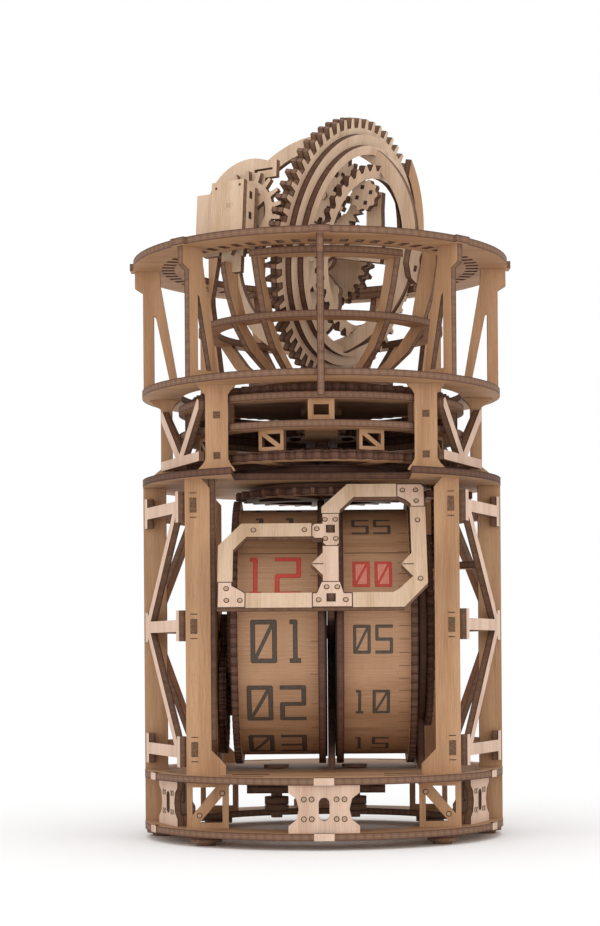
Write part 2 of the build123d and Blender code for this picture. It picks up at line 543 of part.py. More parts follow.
CAGE_TIP = TOP_IN - 3.5
CAGE_ROOT = CAGE_TIP - 4.1
CAGE_IN = CAGE_ROOT - 3.8
PLY_S = (10.0, 10.0 + 2 * T)
sweep = extrude(cage_plane(PLY_S[0] - 0.4) * Circle(CAGE_TIP + 0.5), amount=PLY_S[1] - PLY_S[0] + 0.8,
                dir=n)
save("middle_ring", level(Circle(TOP_IN - 6) - Circle(TOP_IN - 14.5), MIDDLE_Z) - sweep)
arc = Circle(TOP_IN + 2) - Circle(TOP_IN - 7)


def sector(a0, a1, r):
    """A pie piece between two angles from the front."""
    steps = [a0 + (a1 - a0) * i / 4 for i in range(5)]
    return outline([(0, 0)] + [(around(a, r).X, around(a, r).Y) for a in steps])


front_arc = level(arc & sector(-28.5, 34, TOP_R), EQUATOR_Z) - sweep
rear_arc = level(arc & sector(126, 215, TOP_R), EQUATOR_Z) - sweep

# Ribs run from the hub to the middle ring and on to the equator; three longer arms carry the rest
MIDDLE_TOP = MIDDLE_Z + T
RIB_OUT, RIB_IN = TOP_IN - 7, TOP_IN - 13
RIB_BEND = MIDDLE_TOP + 10.7
rib_low = outline([(RIB_IN, MIDDLE_Z), (HUB_R + 7, MIDDLE_Z - 9.8), (HUB_R - 6.5, HUB_Z + T),
                   (HUB_R - 0.5, HUB_Z + T), (HUB_R + 13, MIDDLE_Z - 10.8), (RIB_OUT, MIDDLE_Z)])
foot = [(RIB_IN, MIDDLE_TOP), (RIB_OUT, MIDDLE_TOP), (TOP_IN - 3, RIB_BEND)]
knee = (TOP_IN - 8.5, RIB_BEND + 2)
rib_high = outline(foot + [(TOP_IN + 0.5, EQUATOR_Z), (TOP_IN - 6, EQUATOR_Z), knee])
arm_front = outline(foot + [(TOP_IN - 0.7, EQUATOR_Z + 0.5), (TOP_IN - 0.7, CAGE_Z - 1),
                            (TOP_IN - 6, CAGE_Z - 1), (TOP_IN - 8.2, EQUATOR_Z + 0.5),
                            (TOP_IN - 10.4, RIB_BEND + 2)])
arm_rear = outline(foot + [(TOP_IN - 0.7, EQUATOR_Z + 0.5), (TOP_IN - 0.7, CAGE_Z + 24),
                           (TOP_IN - 10.8, CAGE_Z + 24), (TOP_IN - 5.8, CAGE_Z + 1),
                           (TOP_IN - 5.8, EQUATOR_Z + 0.5), knee])
RIBS = (-27, 32.5, 152.5, 213.5)
GEARBOX_AZ = -44.0
ribs = [sheet(rib_low, radial_plane(a))
        for a in (*RIBS, CAGE_AZ, CAGE_AZ - 180, GEARBOX_AZ, GEARBOX_AZ + 180)]
ribs += [sheet(rib_high, radial_plane(a)) - sweep for a in RIBS]
save("carriage_ribs", *ribs)

# The cage turns between two ten-sided bearing plates
PIVOT_S = TOP_IN - 8.5
near = Plane(origin=cage_o + n * (PIVOT_S - T / 2), x_dir=b, z_dir=n)
far = Plane(origin=cage_o - n * (PIVOT_S - T / 2), x_dir=b, z_dir=n * -1)
poly = RegularPolygon(11.0, 10, rotation=18)
for i in range(4):
    poly -= Rot(0, 0, 90 * i + 45) * Pos(6.6, 0) * Rot(0, 0, 45) * Rectangle(2.6, 2.6)
poly -= Circle(PIVOT_R + SLIDE)
save("cage_bearings", extrude(near * poly, amount=T), extrude(far * poly, amount=T))
cage_arms = []
for face, angle, end in ((arm_front, CAGE_AZ, near), (arm_rear, CAGE_AZ - 180, far)):
    behind_plate = extrude(end * Circle(TOP_IN), amount=T) + extrude(end * Circle(TOP_IN), amount=-30)
    cage_arms.append(sheet(face, radial_plane(angle)) - behind_plate)

# A crescent guard stands on the rear arc, just outside the cage gear
GUARD_R, GUARD_W = CAGE_TIP, 6.0
GUARD_AIR = 0.6
GUARD_SIDE = 32.0      # it starts this far out from the cage's axis
crescent = Circle(GUARD_R) - Circle(GUARD_R - GUARD_W) - block(-GUARD_SIDE, GUARD_R, -GUARD_R, GUARD_R)
guard = extrude(cage_plane(PLY_S[1] + GUARD_AIR) * crescent, amount=T, dir=n)
guard -= level(Circle(2 * TOP_R), 0, EQUATOR_Z + T)

# Gearbox: its pinion meets the cage gear square on, its own axis along the gear's radius
CAGE_TEETH, PINION_TEETH = 60, 18
MESH_UP = 5.0          # the mesh sits this many degrees above the equator of the cage gear
PINION_E = CAGE_TIP - 2.6          # how far out the pinion's mid plane is
PINION_T = 2.4
PINION_BORE = 2.0
pitch_arc = 2 * pi * PINION_E / CAGE_TEETH
pinion_r = pitch_arc * PINION_TEETH / (2 * pi)
e = b * cos(radians(MESH_UP)) + w * sin(radians(MESH_UP))
PINION_S = PLY_S[0] + 2.0 - pinion_r
level_n = UP.cross(e).normalized()


def gearbox_plane(out, across=None):
    """Plane of the pinion at a distance out along its axis, with its x across the axis."""
    return Plane(origin=cage_o + e * out + n * PINION_S, x_dir=across or n, z_dir=e)


PINION_TIP = pinion_r + 1.9
pinion = toothed(PINION_TEETH, pinion_r - 2.3, PINION_TIP, 0.46, 0.22)
pinion -= web_holes(pinion_r - 5.8, 4.5, 4, 3.5, 45) + Circle(PINION_BORE)
BACK, CHEEK = CAGE_TIP - 6.5, CAGE_TIP    # inner faces of the back plate and the cheek
FRONT = CHEEK + 8.5                             # inner face of the bare front plate
save("gearbox_pinion", extrude(gearbox_plane(PINION_E - PINION_T / 2) * pinion, amount=PINION_T),
     extrude(gearbox_plane(BACK + 0.4) * Circle(PINION_BORE), amount=FRONT + 2.5 - BACK - 0.4))

# The front arc is relieved where the pinion's teeth pass
front_arc -= extrude(gearbox_plane(PINION_E - T / 2 - GAP) * Circle(PINION_TIP + GAP), amount=T + 2 * GAP)
save("equator_arcs", front_arc, rear_arc)

# The casing stands upright: an arched back plate with a level arm, a cheek, and a plate in front of both
CASE_R = pinion_r + 5.6
CASE_T = 2.5
CASE_LOW, CASE_HIGH = -11.5, 9.0       # foot and head of its walls, from the pinion's axis
bore = Circle(PINION_BORE + SLIDE)
case = Pos(0, 2.4) * Circle(CASE_R) & block(-CASE_R, 8, -10, CASE_R + 3)
case += block(-CASE_R, -CASE_R + 8, -16, 2.4) + block(0, 13.5, 15.0, 22.2) + block(-12.5, 8, -16, 0)
TONGUE = -24.0
case += block(-12.5, -2.5, TONGUE, 0)
case -= Pos(7, 18.4) * Rectangle(9, 1.4) + bore
cheek = block(-CASE_R, 7.5, CASE_LOW, CASE_HIGH) - bore
plate = block(-8.6, 7.4, CASE_LOW, CASE_HIGH + 1.4) - bore
side_wall = block(-CASE_R, -CASE_R + 2.6, CASE_LOW, CASE_HIGH)
front_wall = block(-8.6, -5.6, CASE_LOW, CASE_HIGH)
casing = []
for face, start, end in ((case, BACK, BACK + CASE_T), (side_wall, BACK + CASE_T, CHEEK),
                         (cheek, CHEEK, CHEEK + CASE_T), (front_wall, CHEEK + CASE_T, FRONT),
                         (plate, FRONT, FRONT + CASE_T)):
    piece = extrude(gearbox_plane(start, level_n) * face, amount=end - start)
    under = sweep if start < CHEEK else level(Circle(2 * TOP_R), 0, TOP_Z + T + GAP)
    casing.append(piece - under)
save("gearbox_cheeks", *casing)
gearbox_arm = sheet(outline(foot + [(TOP_IN - 1, EQUATOR_Z - 2), (TOP_IN - 1, EQUATOR_Z + 4.5),
                                    (TOP_IN - 8.4, EQUATOR_Z + 4.5), knee]), radial_plane(GEARBOX_AZ))
gearbox_arm -= extrude(gearbox_plane(BACK - 0.05, level_n) * block(-30, 30, TONGUE - 0.05, 60), amount=2.6)
gearbox_arm -= extrude(gearbox_plane(BACK + 2.3, level_n) * block(-30, 30, TONGUE + 4, 60), amount=12)
save("carriage_arms", *cage_arms, gearbox_arm, guard)

# ---------------------------------------------------------------- tumbling cage
ring = toothed(CAGE_TEETH, CAGE_ROOT, CAGE_TIP, 0.50, 0.30, MESH_UP + 180 / CAGE_TEETH) - Circle(CAGE_IN)
ply = (PLY_S[1] - PLY_S[0]) / 2
save("cage_gear", extrude(cage_plane(PLY_S[0]) * ring, amount=ply, dir=n),
     extrude(cage_plane(PLY_S[0] + ply) * ring, amount=ply, dir=n))
# A flat hoop square to the gear carries it on two lugs and turns on a stub at each end
BAND_OUT = CAGE_IN + 0.8
BAND_IN = BAND_OUT - 6.4
hoop = Circle(BAND_OUT)
for s in (1, -1):
    hoop += block(*PLY_S, *sorted((s * BAND_IN, s * (CAGE_IN - 0.05))))
hoop -= Circle(BAND_IN)
band = sheet(hoop, Plane(origin=cage_o, x_dir=n, z_dir=b))
for s in (1, -1):
    stub = Plane(origin=cage_o + n * (s * (BAND_OUT - 2)), x_dir=b, z_dir=n * s)
    band += extrude(stub * Circle(PIVOT_R), amount=PIVOT_S + T / 2 - BAND_OUT + 2)
save("cage_band", band)

# Inside the cage one bridge carries the escape wheel, its anchor and the balance
ESCAPE_AT, ANCHOR_AT, BALANCE_AT = (3.0, 21.5), (3.0, -4.4), (-3.0, -25.5)
STAFF_R = 1.6


def in_cage(front):
    """Plane across the cage at a distance in front of the bridge's middle: x along the axis, y up."""
    return Plane(origin=cage_o + b * front, x_dir=n, z_dir=b)


cross = block(-4, 4, -BAND_OUT, BAND_OUT) + block(-BAND_OUT, BAND_OUT, -4, 4)
for at in (ESCAPE_AT, ANCHOR_AT, BALANCE_AT):
    cross += Pos(*at) * Circle(6)
cross &= Circle(BAND_IN)
for at in (ESCAPE_AT, ANCHOR_AT, BALANCE_AT):
    cross -= Pos(*at) * Circle(STAFF_R + SLIDE)
save("cage_bridge", sheet(cross, in_cage(0)))


def staff(at, back, front):
    """The round staff of one wheel, from behind the bridge to in front of it."""
    return extrude(in_cage(back) * Pos(*at) * Circle(STAFF_R), amount=front - back)


# Pointed escape wheel with a small lobed wheel in front of it
POINTS = 30
spikes = []
for i in range(POINTS):
    for r, turn in ((15.8, 0.0), (19.0, 0.62)):
        a = 2 * pi * (i + turn) / POINTS
        spikes.append((r * cos(a), r * sin(a)))
escape = outline(spikes) - web_holes(12.5, 5, 5, 3.0) - Circle(STAFF_R)
lobed = toothed(14, 9.4, 11.6, 0.62, 0.36) - Circle(STAFF_R)
for i in range(4):
    lobed -= Rot(0, 0, 90 * i + 30) * Pos(6.2, 0) * Rot(0, 0, 45) * Rectangle(2.2, 2.2)
save("escape_wheel", extrude(in_cage(2.0) * Pos(*ESCAPE_AT) * escape, amount=T),
     extrude(in_cage(5.0) * Pos(*ESCAPE_AT) * lobed, amount=T), staff(ESCAPE_AT, -2.5, 9.0))

# Anchor astride the lower side of the escape wheel
right_arm = [(3.4, -2.5), (10, 3), (16.5, 11.2), (19.6, 15.2), (16.2, 14.0), (12.6, 9.6), (6, 4.4)]
anchor = outline(right_arm + [(-x, y) for x, y in reversed(right_arm)])
fork = [(1.6, -2.5), (2.2, -13), (3.6, -16.0), (1.4, -15.4), (0, -13.2)]
anchor += outline(fork + [(-x, y) for x, y in reversed(fork[:-1])])
anchor -= Circle(STAFF_R)
save("anchor", extrude(in_cage(2.0) * Pos(*ANCHOR_AT) * anchor, amount=T), staff(ANCHOR_AT, -2.5, 6.0))

# Balance wheel behind the bridge, with three curved weights
balance = Circle(16.5) - web_holes(13.5, 4.5, 3, 3.4, 90)
for i in range(3):
    balance += Rot(0, 0, 30 + 120 * i) * Pos(14.6, 0) * Circle(3.0)
balance -= Circle(STAFF_R)
save("balance_wheel", extrude(in_cage(-5.0) * Pos(*BALANCE_AT) * balance, amount=T),
     staff(BALANCE_AT, -8.0, 3.0))
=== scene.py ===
from math import atan2, cos, hypot, pi, radians, sin

import bpy
import numpy as np
from mathutils import Matrix, Vector


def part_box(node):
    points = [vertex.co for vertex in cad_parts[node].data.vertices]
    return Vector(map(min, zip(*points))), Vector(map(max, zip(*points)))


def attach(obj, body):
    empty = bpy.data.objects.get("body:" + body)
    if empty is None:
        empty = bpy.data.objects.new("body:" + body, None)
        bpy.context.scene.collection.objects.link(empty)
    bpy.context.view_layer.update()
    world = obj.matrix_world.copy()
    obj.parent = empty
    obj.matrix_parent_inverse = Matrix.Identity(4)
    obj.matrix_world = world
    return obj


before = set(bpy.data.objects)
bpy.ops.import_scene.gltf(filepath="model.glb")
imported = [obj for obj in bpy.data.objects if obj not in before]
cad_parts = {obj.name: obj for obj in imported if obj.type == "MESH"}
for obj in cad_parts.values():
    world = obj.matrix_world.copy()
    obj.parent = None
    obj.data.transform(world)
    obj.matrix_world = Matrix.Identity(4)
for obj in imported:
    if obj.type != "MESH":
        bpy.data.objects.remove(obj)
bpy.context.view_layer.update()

# ---------------------------------------------------------------- base
# A ring on six round knobs carries six waisted brackets, and the deck lies on their shoulders. All are
# laser cut from one three-ply birch board, sanded, left bare, and held by tabs and pegs. Two winders
# with doubled knobs hang through the deck into a small bridge.
MM = 0.001
BOARD = 3 * MM
RIGHT = Vector((1, 0, 0))
FORTH = Vector((0, 1, 0))
UP = Vector((0, 0, 1))


def paint(code):
    """An sRGB hex colour as the linear colour that a shader works in."""
    parts = [int(code[i:i + 2], 16) / 255 for i in (1, 3, 5)]
    return (*[p / 12.92 if p <= 0.04045 else ((p + 0.055) / 1.055) ** 2.4 for p in parts], 1)


def add(tree, kind, settings=None, links=None):
    """Adds a shader node: settings are its properties, sockets or ramp stops, links feed its sockets."""
    node = tree.nodes.new("ShaderNode" + kind)
    for name, value in (settings or {}).items():
        if name == "stops":
            for _ in value[2:]:
                node.color_ramp.elements.new(0.5)
            for stop, (place, colour) in zip(node.color_ramp.elements, value):
                stop.position, stop.color = place, paint(colour)
        elif isinstance(name, int) or name in node.inputs:
            node.inputs[name].default_value = value
        else:
            setattr(node, name, value)
    for name, socket in (links or {}).items():
        tree.links.new(socket, node.inputs[name])
    return node


def material(name):
    """A new material with an empty tree."""
    made = bpy.data.materials.new(name)
    made.use_nodes = True
    made.node_tree.nodes.clear()
    return made, made.node_tree


def finish_shader(tree, colour, rough, bump, depth):
    """Closes a wood material: matt, with its pores and layers as a shallow bump."""
    relief = add(tree, "Bump", {"Strength": 0.5, "Distance": depth}, {"Height": bump})
    wood = add(tree, "BsdfPrincipled", {"IOR": 1.5, "Specular IOR Level": 0.3},
               {"Base Color": colour, "Roughness": rough, "Normal": relief.outputs["Normal"]})
    add(tree, "OutputMaterial", {}, {"Surface": wood.outputs["BSDF"]})


def veneer(name, pale, middle, dark):
    """Sanded birch veneer: fine fibres along the sheet, slow bands of tone, and short dark pores."""
    # real fibres and pores are a tenth of a millimetre wide or less, too fine to show, so these are coarser
    fibre_long, fibre_wide = 14 * MM, 0.5 * MM
    band_long, band_wide = 120 * MM, 9 * MM
    pore_long, pore_wide = 3.0 * MM, 0.25 * MM
    made, tree = material(name)
    place = add(tree, "UVMap", {"uv_map": "grain"}).outputs["UV"]
    fibre_map = add(tree, "Mapping", {"Scale": (1 / fibre_long, 1 / fibre_wide, 1)}, {"Vector": place})
    fibre = add(tree, "TexNoise", {"Scale": 1.0, "Detail": 3.0, "Roughness": 0.6},
                {"Vector": fibre_map.outputs["Vector"]}).outputs["Fac"]
    band_map = add(tree, "Mapping", {"Scale": (1 / band_long, 1 / band_wide, 1)}, {"Vector": place})
    band = add(tree, "TexNoise", {"Scale": 1.0, "Detail": 2.0, "Distortion": 0.4},
               {"Vector": band_map.outputs["Vector"]}).outputs["Fac"]
    pore_map = add(tree, "Mapping", {"Scale": (1 / pore_long, 1 / pore_wide, 1)}, {"Vector": place})
    pore = add(tree, "TexNoise", {"Scale": 1.0, "Detail": 0.0}, {"Vector": pore_map.outputs["Vector"]})
    sum_up = add(tree, "Math", {"operation": "MULTIPLY_ADD", 1: 0.45}, {0: fibre})
    half = add(tree, "Math", {"operation": "MULTIPLY", 1: 0.55}, {0: band})
    tree.links.new(half.outputs[0], sum_up.inputs[2])
    tone = add(tree, "ValToRGB", {"stops": [(0.36, dark), (0.5, middle), (0.64, pale)]},
               {"Fac": sum_up.outputs[0]})
    pits = add(tree, "MapRange", {"From Min": 0.27, "From Max": 0.34, "To Min": 0.45, "To Max": 0.0},
               {"Value": pore.outputs["Fac"]})
    colour = add(tree, "Mix", {"data_type": "RGBA", 7: paint(dark)},
                 {0: pits.outputs["Result"], 6: tone.outputs["Color"]})
    rough = add(tree, "MapRange", {"To Min": 0.55, "To Max": 0.75}, {"Value": fibre})
    finish_shader(tree, colour.outputs[2], rough.outputs["Result"], fibre, 0.04 * MM)
    return made


def charred(name, burnt, brown, tan_):
    """A laser-cut edge: plies as bands through the board, with scorch streaks across them."""
    # the laser's own streaks are some 0.2 mm apart, too fine to show, so these are drawn wider apart
    streak_apart, streak_long = 2.4 * MM, 9 * MM
    made, tree = material(name)
    place = add(tree, "UVMap", {"uv_map": "grain"}).outputs["UV"]
    split = add(tree, "SeparateXYZ", {}, {"Vector": place})
    through = add(tree, "Math", {"operation": "MULTIPLY", 1: 1 / BOARD}, {0: split.outputs["Y"]})
    ply = add(tree, "Math", {"operation": "FRACT"}, {0: through.outputs[0]})
    bands = add(tree, "ValToRGB", {"stops": [
        (0.0, burnt), (0.1, brown), (0.3, tan_), (0.36, brown), (0.42, tan_), (0.58, tan_), (0.64, brown),
        (0.7, tan_), (0.9, brown), (1.0, burnt)]}, {"Fac": ply.outputs[0]})
    streak_map = add(tree, "Mapping", {"Scale": (1 / streak_apart, 1 / streak_long, 1)}, {"Vector": place})
    streak = add(tree, "TexNoise", {"Scale": 1.0, "Detail": 3.0, "Roughness": 0.7},
                 {"Vector": streak_map.outputs["Vector"]}).outputs["Fac"]
    burn = add(tree, "MapRange", {"From Min": 0.4, "From Max": 0.75, "To Min": 0.0, "To Max": 0.6},
               {"Value": streak})
    colour = add(tree, "Mix", {"data_type": "RGBA", 7: paint(burnt)},
                 {0: burn.outputs["Result"], 6: bands.outputs["Color"]})
    rough = add(tree, "MapRange", {"To Min": 0.6, "To Max": 0.85}, {"Value": streak})
    finish_shader(tree, colour.outputs[2], rough.outputs["Result"], streak, 0.08 * MM)
    return made


# Birch veneer, sanded and bare: warm light brown, matt, with soft fibres and a few short dark pores.
birch = veneer("sanded_birch_veneer", "#BA9370", "#AD8562", "#9A7250")
# The fairest sheets: a pinkish cream on which the grain hardly shows, so the piece stands out.
fair_birch = veneer("fair_birch_veneer", "#D9BCA6", "#CEB09B", "#BC9B86")
# A cut edge burnt brown by the laser: the core ply shows as a lighter band between two darker seams.
edge = charred("laser_charred_edge", "#3B241A", "#674534", "#846650")
# The same char in darker tones, as painted shade: toothed rims and the plates inside the clock look nearly
# black where the shade falls on them.
shaded_edge = charred("charred_edge_painted_shade", "#28160F", "#4A2D20", "#664635")


def islands(corners):
    """Numbers the separate solids of a mesh of loose triangles, one number for each triangle."""
    _, same = np.unique(np.round(corners.reshape(-1, 3) * 1e6).astype(np.int64), axis=0, return_inverse=True)
    triangles = same.reshape(-1, 3)
    label = np.arange(same.max() + 1)
    while True:
        before = label.copy()
        np.minimum.at(label, triangles, label[triangles].min(axis=1)[:, None])
        label = label[label]
        if (label == before).all():
            return np.unique(label[triangles[:, 0]], return_inverse=True)[1]


def dress(name, face=birch, cut=edge, bent_about=None):
    """Puts the veneer on a piece's two broad sides and the char on its cut edges, and maps the grain.

    A bent skin, cut flat and bent about an axis, has its veneer on the curved sides."""
    flat_lean, bent_lean = 0.9, 0.5
    step_along, step_beside, name_step = 7.31, 3.17, 1.7
    mesh = (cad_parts[name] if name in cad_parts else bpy.data.objects[name]).data
    mesh.materials.clear()
    mesh.materials.append(face)
    mesh.materials.append(cut)
    count = len(mesh.polygons)
    spots = np.empty(len(mesh.vertices) * 3)
    mesh.vertices.foreach_get("co", spots)
    loops = np.empty(count * 3, int)
    mesh.loops.foreach_get("vertex_index", loops)
    corners = spots.reshape(-1, 3)[loops].reshape(-1, 3, 3)
    normals = np.empty(count * 3)
    mesh.polygons.foreach_get("normal", normals)
    normals = normals.reshape(-1, 3)
    areas = np.empty(count)
    mesh.polygons.foreach_get("area", areas)
    solid = islands(corners)
    slots = np.ones(count, int)
    grain = np.zeros((count, 3, 2))
    for number in range(solid.max() + 1):
        mine = solid == number
        n = normals[mine]
        # the sheet lies square to the direction that most of its area faces, either way round
        if bent_about is None:
            key = np.round(n, 2)
            key *= np.where(key @ (1, 0.01, 0.0001) < 0, -1, 1)[:, None]
            kinds, which = np.unique(key, axis=0, return_inverse=True)
            square = kinds[np.argmax(np.bincount(which.ravel(), areas[mine]))]
        else:
            square = np.array(bent_about)
        square = square / np.linalg.norm(square)
        lean = np.abs(n @ square)
        broad = lean > flat_lean if bent_about is None else lean < bent_lean
        slots[mine] = np.where(broad, 0, 1)
        # the grain runs up an upright sheet and from left to right in a level one
        rise = np.array((0, 0, 1.0)) if abs(square[2]) < flat_lean else np.array((1.0, 0, 0))
        along = rise - square * (rise @ square)
        along /= np.linalg.norm(along)
        beside = np.cross(square, along)
        p = corners[mine]
        flat = np.stack((p @ along, p @ beside), axis=-1)
        run = np.cross(square, n)
        run /= np.maximum(np.linalg.norm(run, axis=1), 1e-9)[:, None]
        depth = p @ square
        side = np.stack((np.einsum("tij,tj->ti", p, run), depth - depth.min()), axis=-1)
        if bent_about is None:
            # each solid takes its grain from another place on the sheet
            flat = flat + np.array((number * step_along + len(name) * name_step, number * step_beside))
        else:
            flat, side = side[..., ::-1], flat
        grain[mine] = np.where(broad[:, None, None], flat, side)
    mesh.polygons.foreach_set("material_index", slots)
    layer = mesh.uv_layers.new(name="grain")
    layer.data.foreach_set("uv", grain.ravel())
    mesh.update()


for piece in ("feet", "base_ring", "deck", "winder_bridge", "left_winder", "right_winder"):
    dress(piece)
dress("base_brackets", fair_birch)


def scorch_and_shade(name, dark, light, grain):
    """Wood darkened by the laser or by stain, and painted shade: two close tones in small specks, and a
    slight roughness.
    """
    made, tree = material(name)
    place = add(tree, "TexCoord").outputs["Object"]
    speck = add(tree, "TexNoise", {"Scale": 1 / grain, "Detail": 2.0, "Roughness": 0.6},
                {"Vector": place}).outputs["Fac"]
    tone = add(tree, "ValToRGB", {"stops": [(0.35, dark), (0.65, light)]}, {"Fac": speck})
    rough = add(tree, "MapRange", {"To Min": 0.6, "To Max": 0.85}, {"Value": speck})
    finish_shader(tree, tone.outputs["Color"], rough.outputs["Result"], speck, 0.03 * MM)
    return made


# A line scored by the laser down to the dark core: nearly black, dull and a little rough. The same near-black
# stands as painted shade in the deck's slots and the gearbox's pin holes.
scored_and_hole_shade = scorch_and_shade("scored_line_and_hole_shade", "#2A1C15", "#432E22", 0.4 * MM)
# End grain of a birch peg: paler and dustier than the sheet, speckled in place of fibres.
end_grain = scorch_and_shade("peg_end_grain", "#9A7C63", "#C7A98D", 0.35 * MM)


def only(*pieces):
    """Selects these pieces and no others, with the first of them active."""
    bpy.ops.object.select_all(action="DESELECT")
    for piece in pieces:
        piece.select_set(True)
    bpy.context.view_layer.objects.active = pieces[0]


def joined(name, pieces):
    """Joins pieces into one named piece, with its place in its mesh."""
    only(*pieces)
    bpy.ops.object.join()
    pieces[0].name = name
    bpy.ops.object.transform_apply(location=True, rotation=True, scale=True)
    return pieces[0]


def choose(piece, kind, test):
    """In edit mode, selects the vertices or polygons of a piece whose place passes a test."""
    bpy.ops.mesh.select_mode(type="VERT" if kind == "vertices" else "FACE")
    bpy.ops.mesh.select_all(action="DESELECT")
    bpy.ops.object.mode_set(mode="OBJECT")
    for part in getattr(piece.data, kind):
        part.select = bool(test(part.co if kind == "vertices" else part.center))
    bpy.ops.object.mode_set(mode="EDIT")


# One peg end is shaped here and copied wherever a round peg shows: a dark rim round a raised core.
PEG_CORE_R = 0.85 * MM
PEG_RIM = 0.35 * MM
PEG_PROUD = 0.05 * MM
PEG_DEEP = 0.16 * MM
bpy.ops.object.select_all(action="DESELECT")
bpy.ops.mesh.primitive_cylinder_add(vertices=16, radius=PEG_CORE_R + PEG_RIM, depth=PEG_DEEP)
peg = bpy.context.object
bpy.ops.object.mode_set(mode="EDIT")
choose(peg, "polygons", lambda at: at.z > PEG_PROUD)
bpy.ops.mesh.inset(thickness=PEG_RIM)
bpy.ops.mesh.extrude_region_move(TRANSFORM_OT_translate={"value": (0, 0, PEG_PROUD)})
bpy.ops.object.mode_set(mode="OBJECT")
peg.data.materials.append(scored_and_hole_shade)
peg.data.materials.append(end_grain)
for face in peg.data.polygons:
    face.material_index = int(face.select)


def stand(piece, at, along, up):
    """Stands a piece at a point, its width along, its height up and its thickness along their cross."""
    turn = Matrix((along, up, along.cross(up))).transposed().to_4x4()
    piece.matrix_world = Matrix.Translation(at) @ turn


def pegs(name, body, spots, origin, along, up):
    """Round peg ends in a plate, at spots in mm along and up from its origin."""
    ends = []
    for across, over in spots:
        end = peg.copy()
        end.data = peg.data.copy()
        bpy.context.collection.objects.link(end)
        stand(end, origin + along * (across * MM) + up * (over * MM), along, up)
        ends.append(end)
    ends = joined(name, ends)
    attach(ends, body)


def thicken(thick):
    """In edit mode, gives a flat board its thickness, in triangles that point outwards."""
    bpy.ops.mesh.select_all(action="SELECT")
    bpy.ops.mesh.extrude_region_move(TRANSFORM_OT_translate={"value": (0, 0, thick)})
    bpy.ops.mesh.select_all(action="SELECT")
    bpy.ops.mesh.normals_make_consistent(inside=False)
    bpy.ops.mesh.quads_convert_to_tris()
    bpy.ops.object.mode_set(mode="OBJECT")


def cut_board(outline, at, along, up, thick=BOARD):
    """A straight-sided board, its outline in mm along and up from a point."""
    bpy.ops.object.select_all(action="DESELECT")
    bpy.ops.mesh.primitive_circle_add(vertices=len(outline), radius=MM, fill_type="NGON")
    board = bpy.context.object
    for vertex, (x, y) in zip(board.data.vertices, outline):
        vertex.co = (x * MM, y * MM, 0)
    bpy.ops.object.mode_set(mode="EDIT")
    thicken(thick)
    stand(board, at, along, up)
    return board


def fitted(name, boards, body, face, cut):
    """Joins boards into one named piece, gives it its finish and lets it ride on a body."""
    piece = joined(name, boards)
    dress(name, face, cut)
    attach(piece, body)


def studs(name, body, spots, wide, tall, at, along, up, cut=scored_and_hole_shade):
    """Dark square pin ends and scores in a board, and painted shade in its slots and holes, at spots in mm
    from a point on its face.
    """
    proud = 0.12 * MM
    x1, y1 = wide / 2, tall / 2
    ends = []
    for x, y in spots:
        corners = [(x - x1, y - y1), (x + x1, y - y1), (x + x1, y + y1), (x - x1, y + y1)]
        ends.append(cut_board(corners, at, along, up, proud))
    ends = joined(name, ends)
    ends.data.materials.append(cut)
    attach(ends, body)


# The brackets' angles from the front, how far out they stand, how close their eight pegs are set, and
# half the width of their tabs, which come through ring and deck and end flush with the rims.
BRACKETS = [(angle, 75.5 * MM, 1.0, 4.15) for angle in (0, 180)]
BRACKETS += [(angle, 71.0 * MM, 0.8, 3.3) for angle in (67.5, -67.5, 112.5, -112.5)]
BRACKET_MIDDLE = 16.75 * MM
PEG_SPOTS = [(x, z) for x in (-8.25, -5.05, 5.05, 8.25) for z in (-4, 4)]
TAB_REACH, TAB_DEEP = 77.0 * MM, 2.15 * MM
tabs = []
for angle, reach, close, half in BRACKETS:
    facing = Vector((sin(radians(angle)), -cos(radians(angle)), 0))
    beside = UP.cross(facing)
    pegs("bracket_pegs", "frame", [(x * close, z) for x, z in PEG_SPOTS],
         facing * (reach + BOARD / 2) + UP * BRACKET_MIDDLE, beside, UP)
    for disc in ("base_ring", "deck"):
        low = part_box(disc)[0][2] / MM
        high = low + BOARD / MM
        tabs.append(cut_board([(-half, low), (half, low), (half, high), (-half, high)],
                              facing * TAB_REACH, beside, UP, TAB_DEEP))
fitted("bracket_tabs", tabs, "frame", fair_birch, shaded_edge)

# Two long slots are cut in the deck in front of the drums, drawn as near-black patches: painted shade in the
# slots.
SLOT_LONG, SLOT_WIDE = 15.6, 2.6
deck_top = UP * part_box("deck")[1][2]
studs("deck_slot_shade", "frame", [(-30.6, -50.2), (33, -50.2)], SLOT_LONG, SLOT_WIDE, deck_top, RIGHT, FORTH)

# ---------------------------------------------------------------- posts and braces
# Four birch columns and two side posts carry the train plate, and four zigzag braces of the fairest
# sheet tie them. The braces' tenons are pushed through the columns, and a short line is scored above
# and below each. Two pegs hold the foot of each front column.
for piece in ("columns", "side_posts", "left_stiffener"):
    dress(piece)
dress("side_braces", fair_birch)
column_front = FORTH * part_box("columns")[0][1]
for side in (1, -1):
    pegs("gusset_pegs", "frame", [(side * 42.6, 21.7), (side * 52.2, 12.4)], column_front, RIGHT, UP)

# The end of a tenon, cut across the grain and charred: dark brown flecked with the colour of the core.
tenon_end = scorch_and_shade("charred_tenon_end", "#4A3425", "#7A5B42", 0.5 * MM)
TENON_X = 54.0
TENON_Z = (142.5, 91.7, 40.1)
TENON_WIDE, TENON_TALL = 2.9, 6.3
SCORE_OFF, SCORE_TALL = 5.1, 0.35
for side, name in ((-1, "left"), (1, "right")):
    tenons = [(side * TENON_X, z) for z in TENON_Z]
    scores = [(x, z + way * SCORE_OFF) for x, z in tenons for way in (-1, 1)]
    studs(name + "_brace_tenons", "frame", tenons, TENON_WIDE, TENON_TALL, column_front, RIGHT, UP, tenon_end)
    studs(name + "_brace_scores", "frame", scores, TENON_WIDE, SCORE_TALL, column_front, RIGHT, UP)

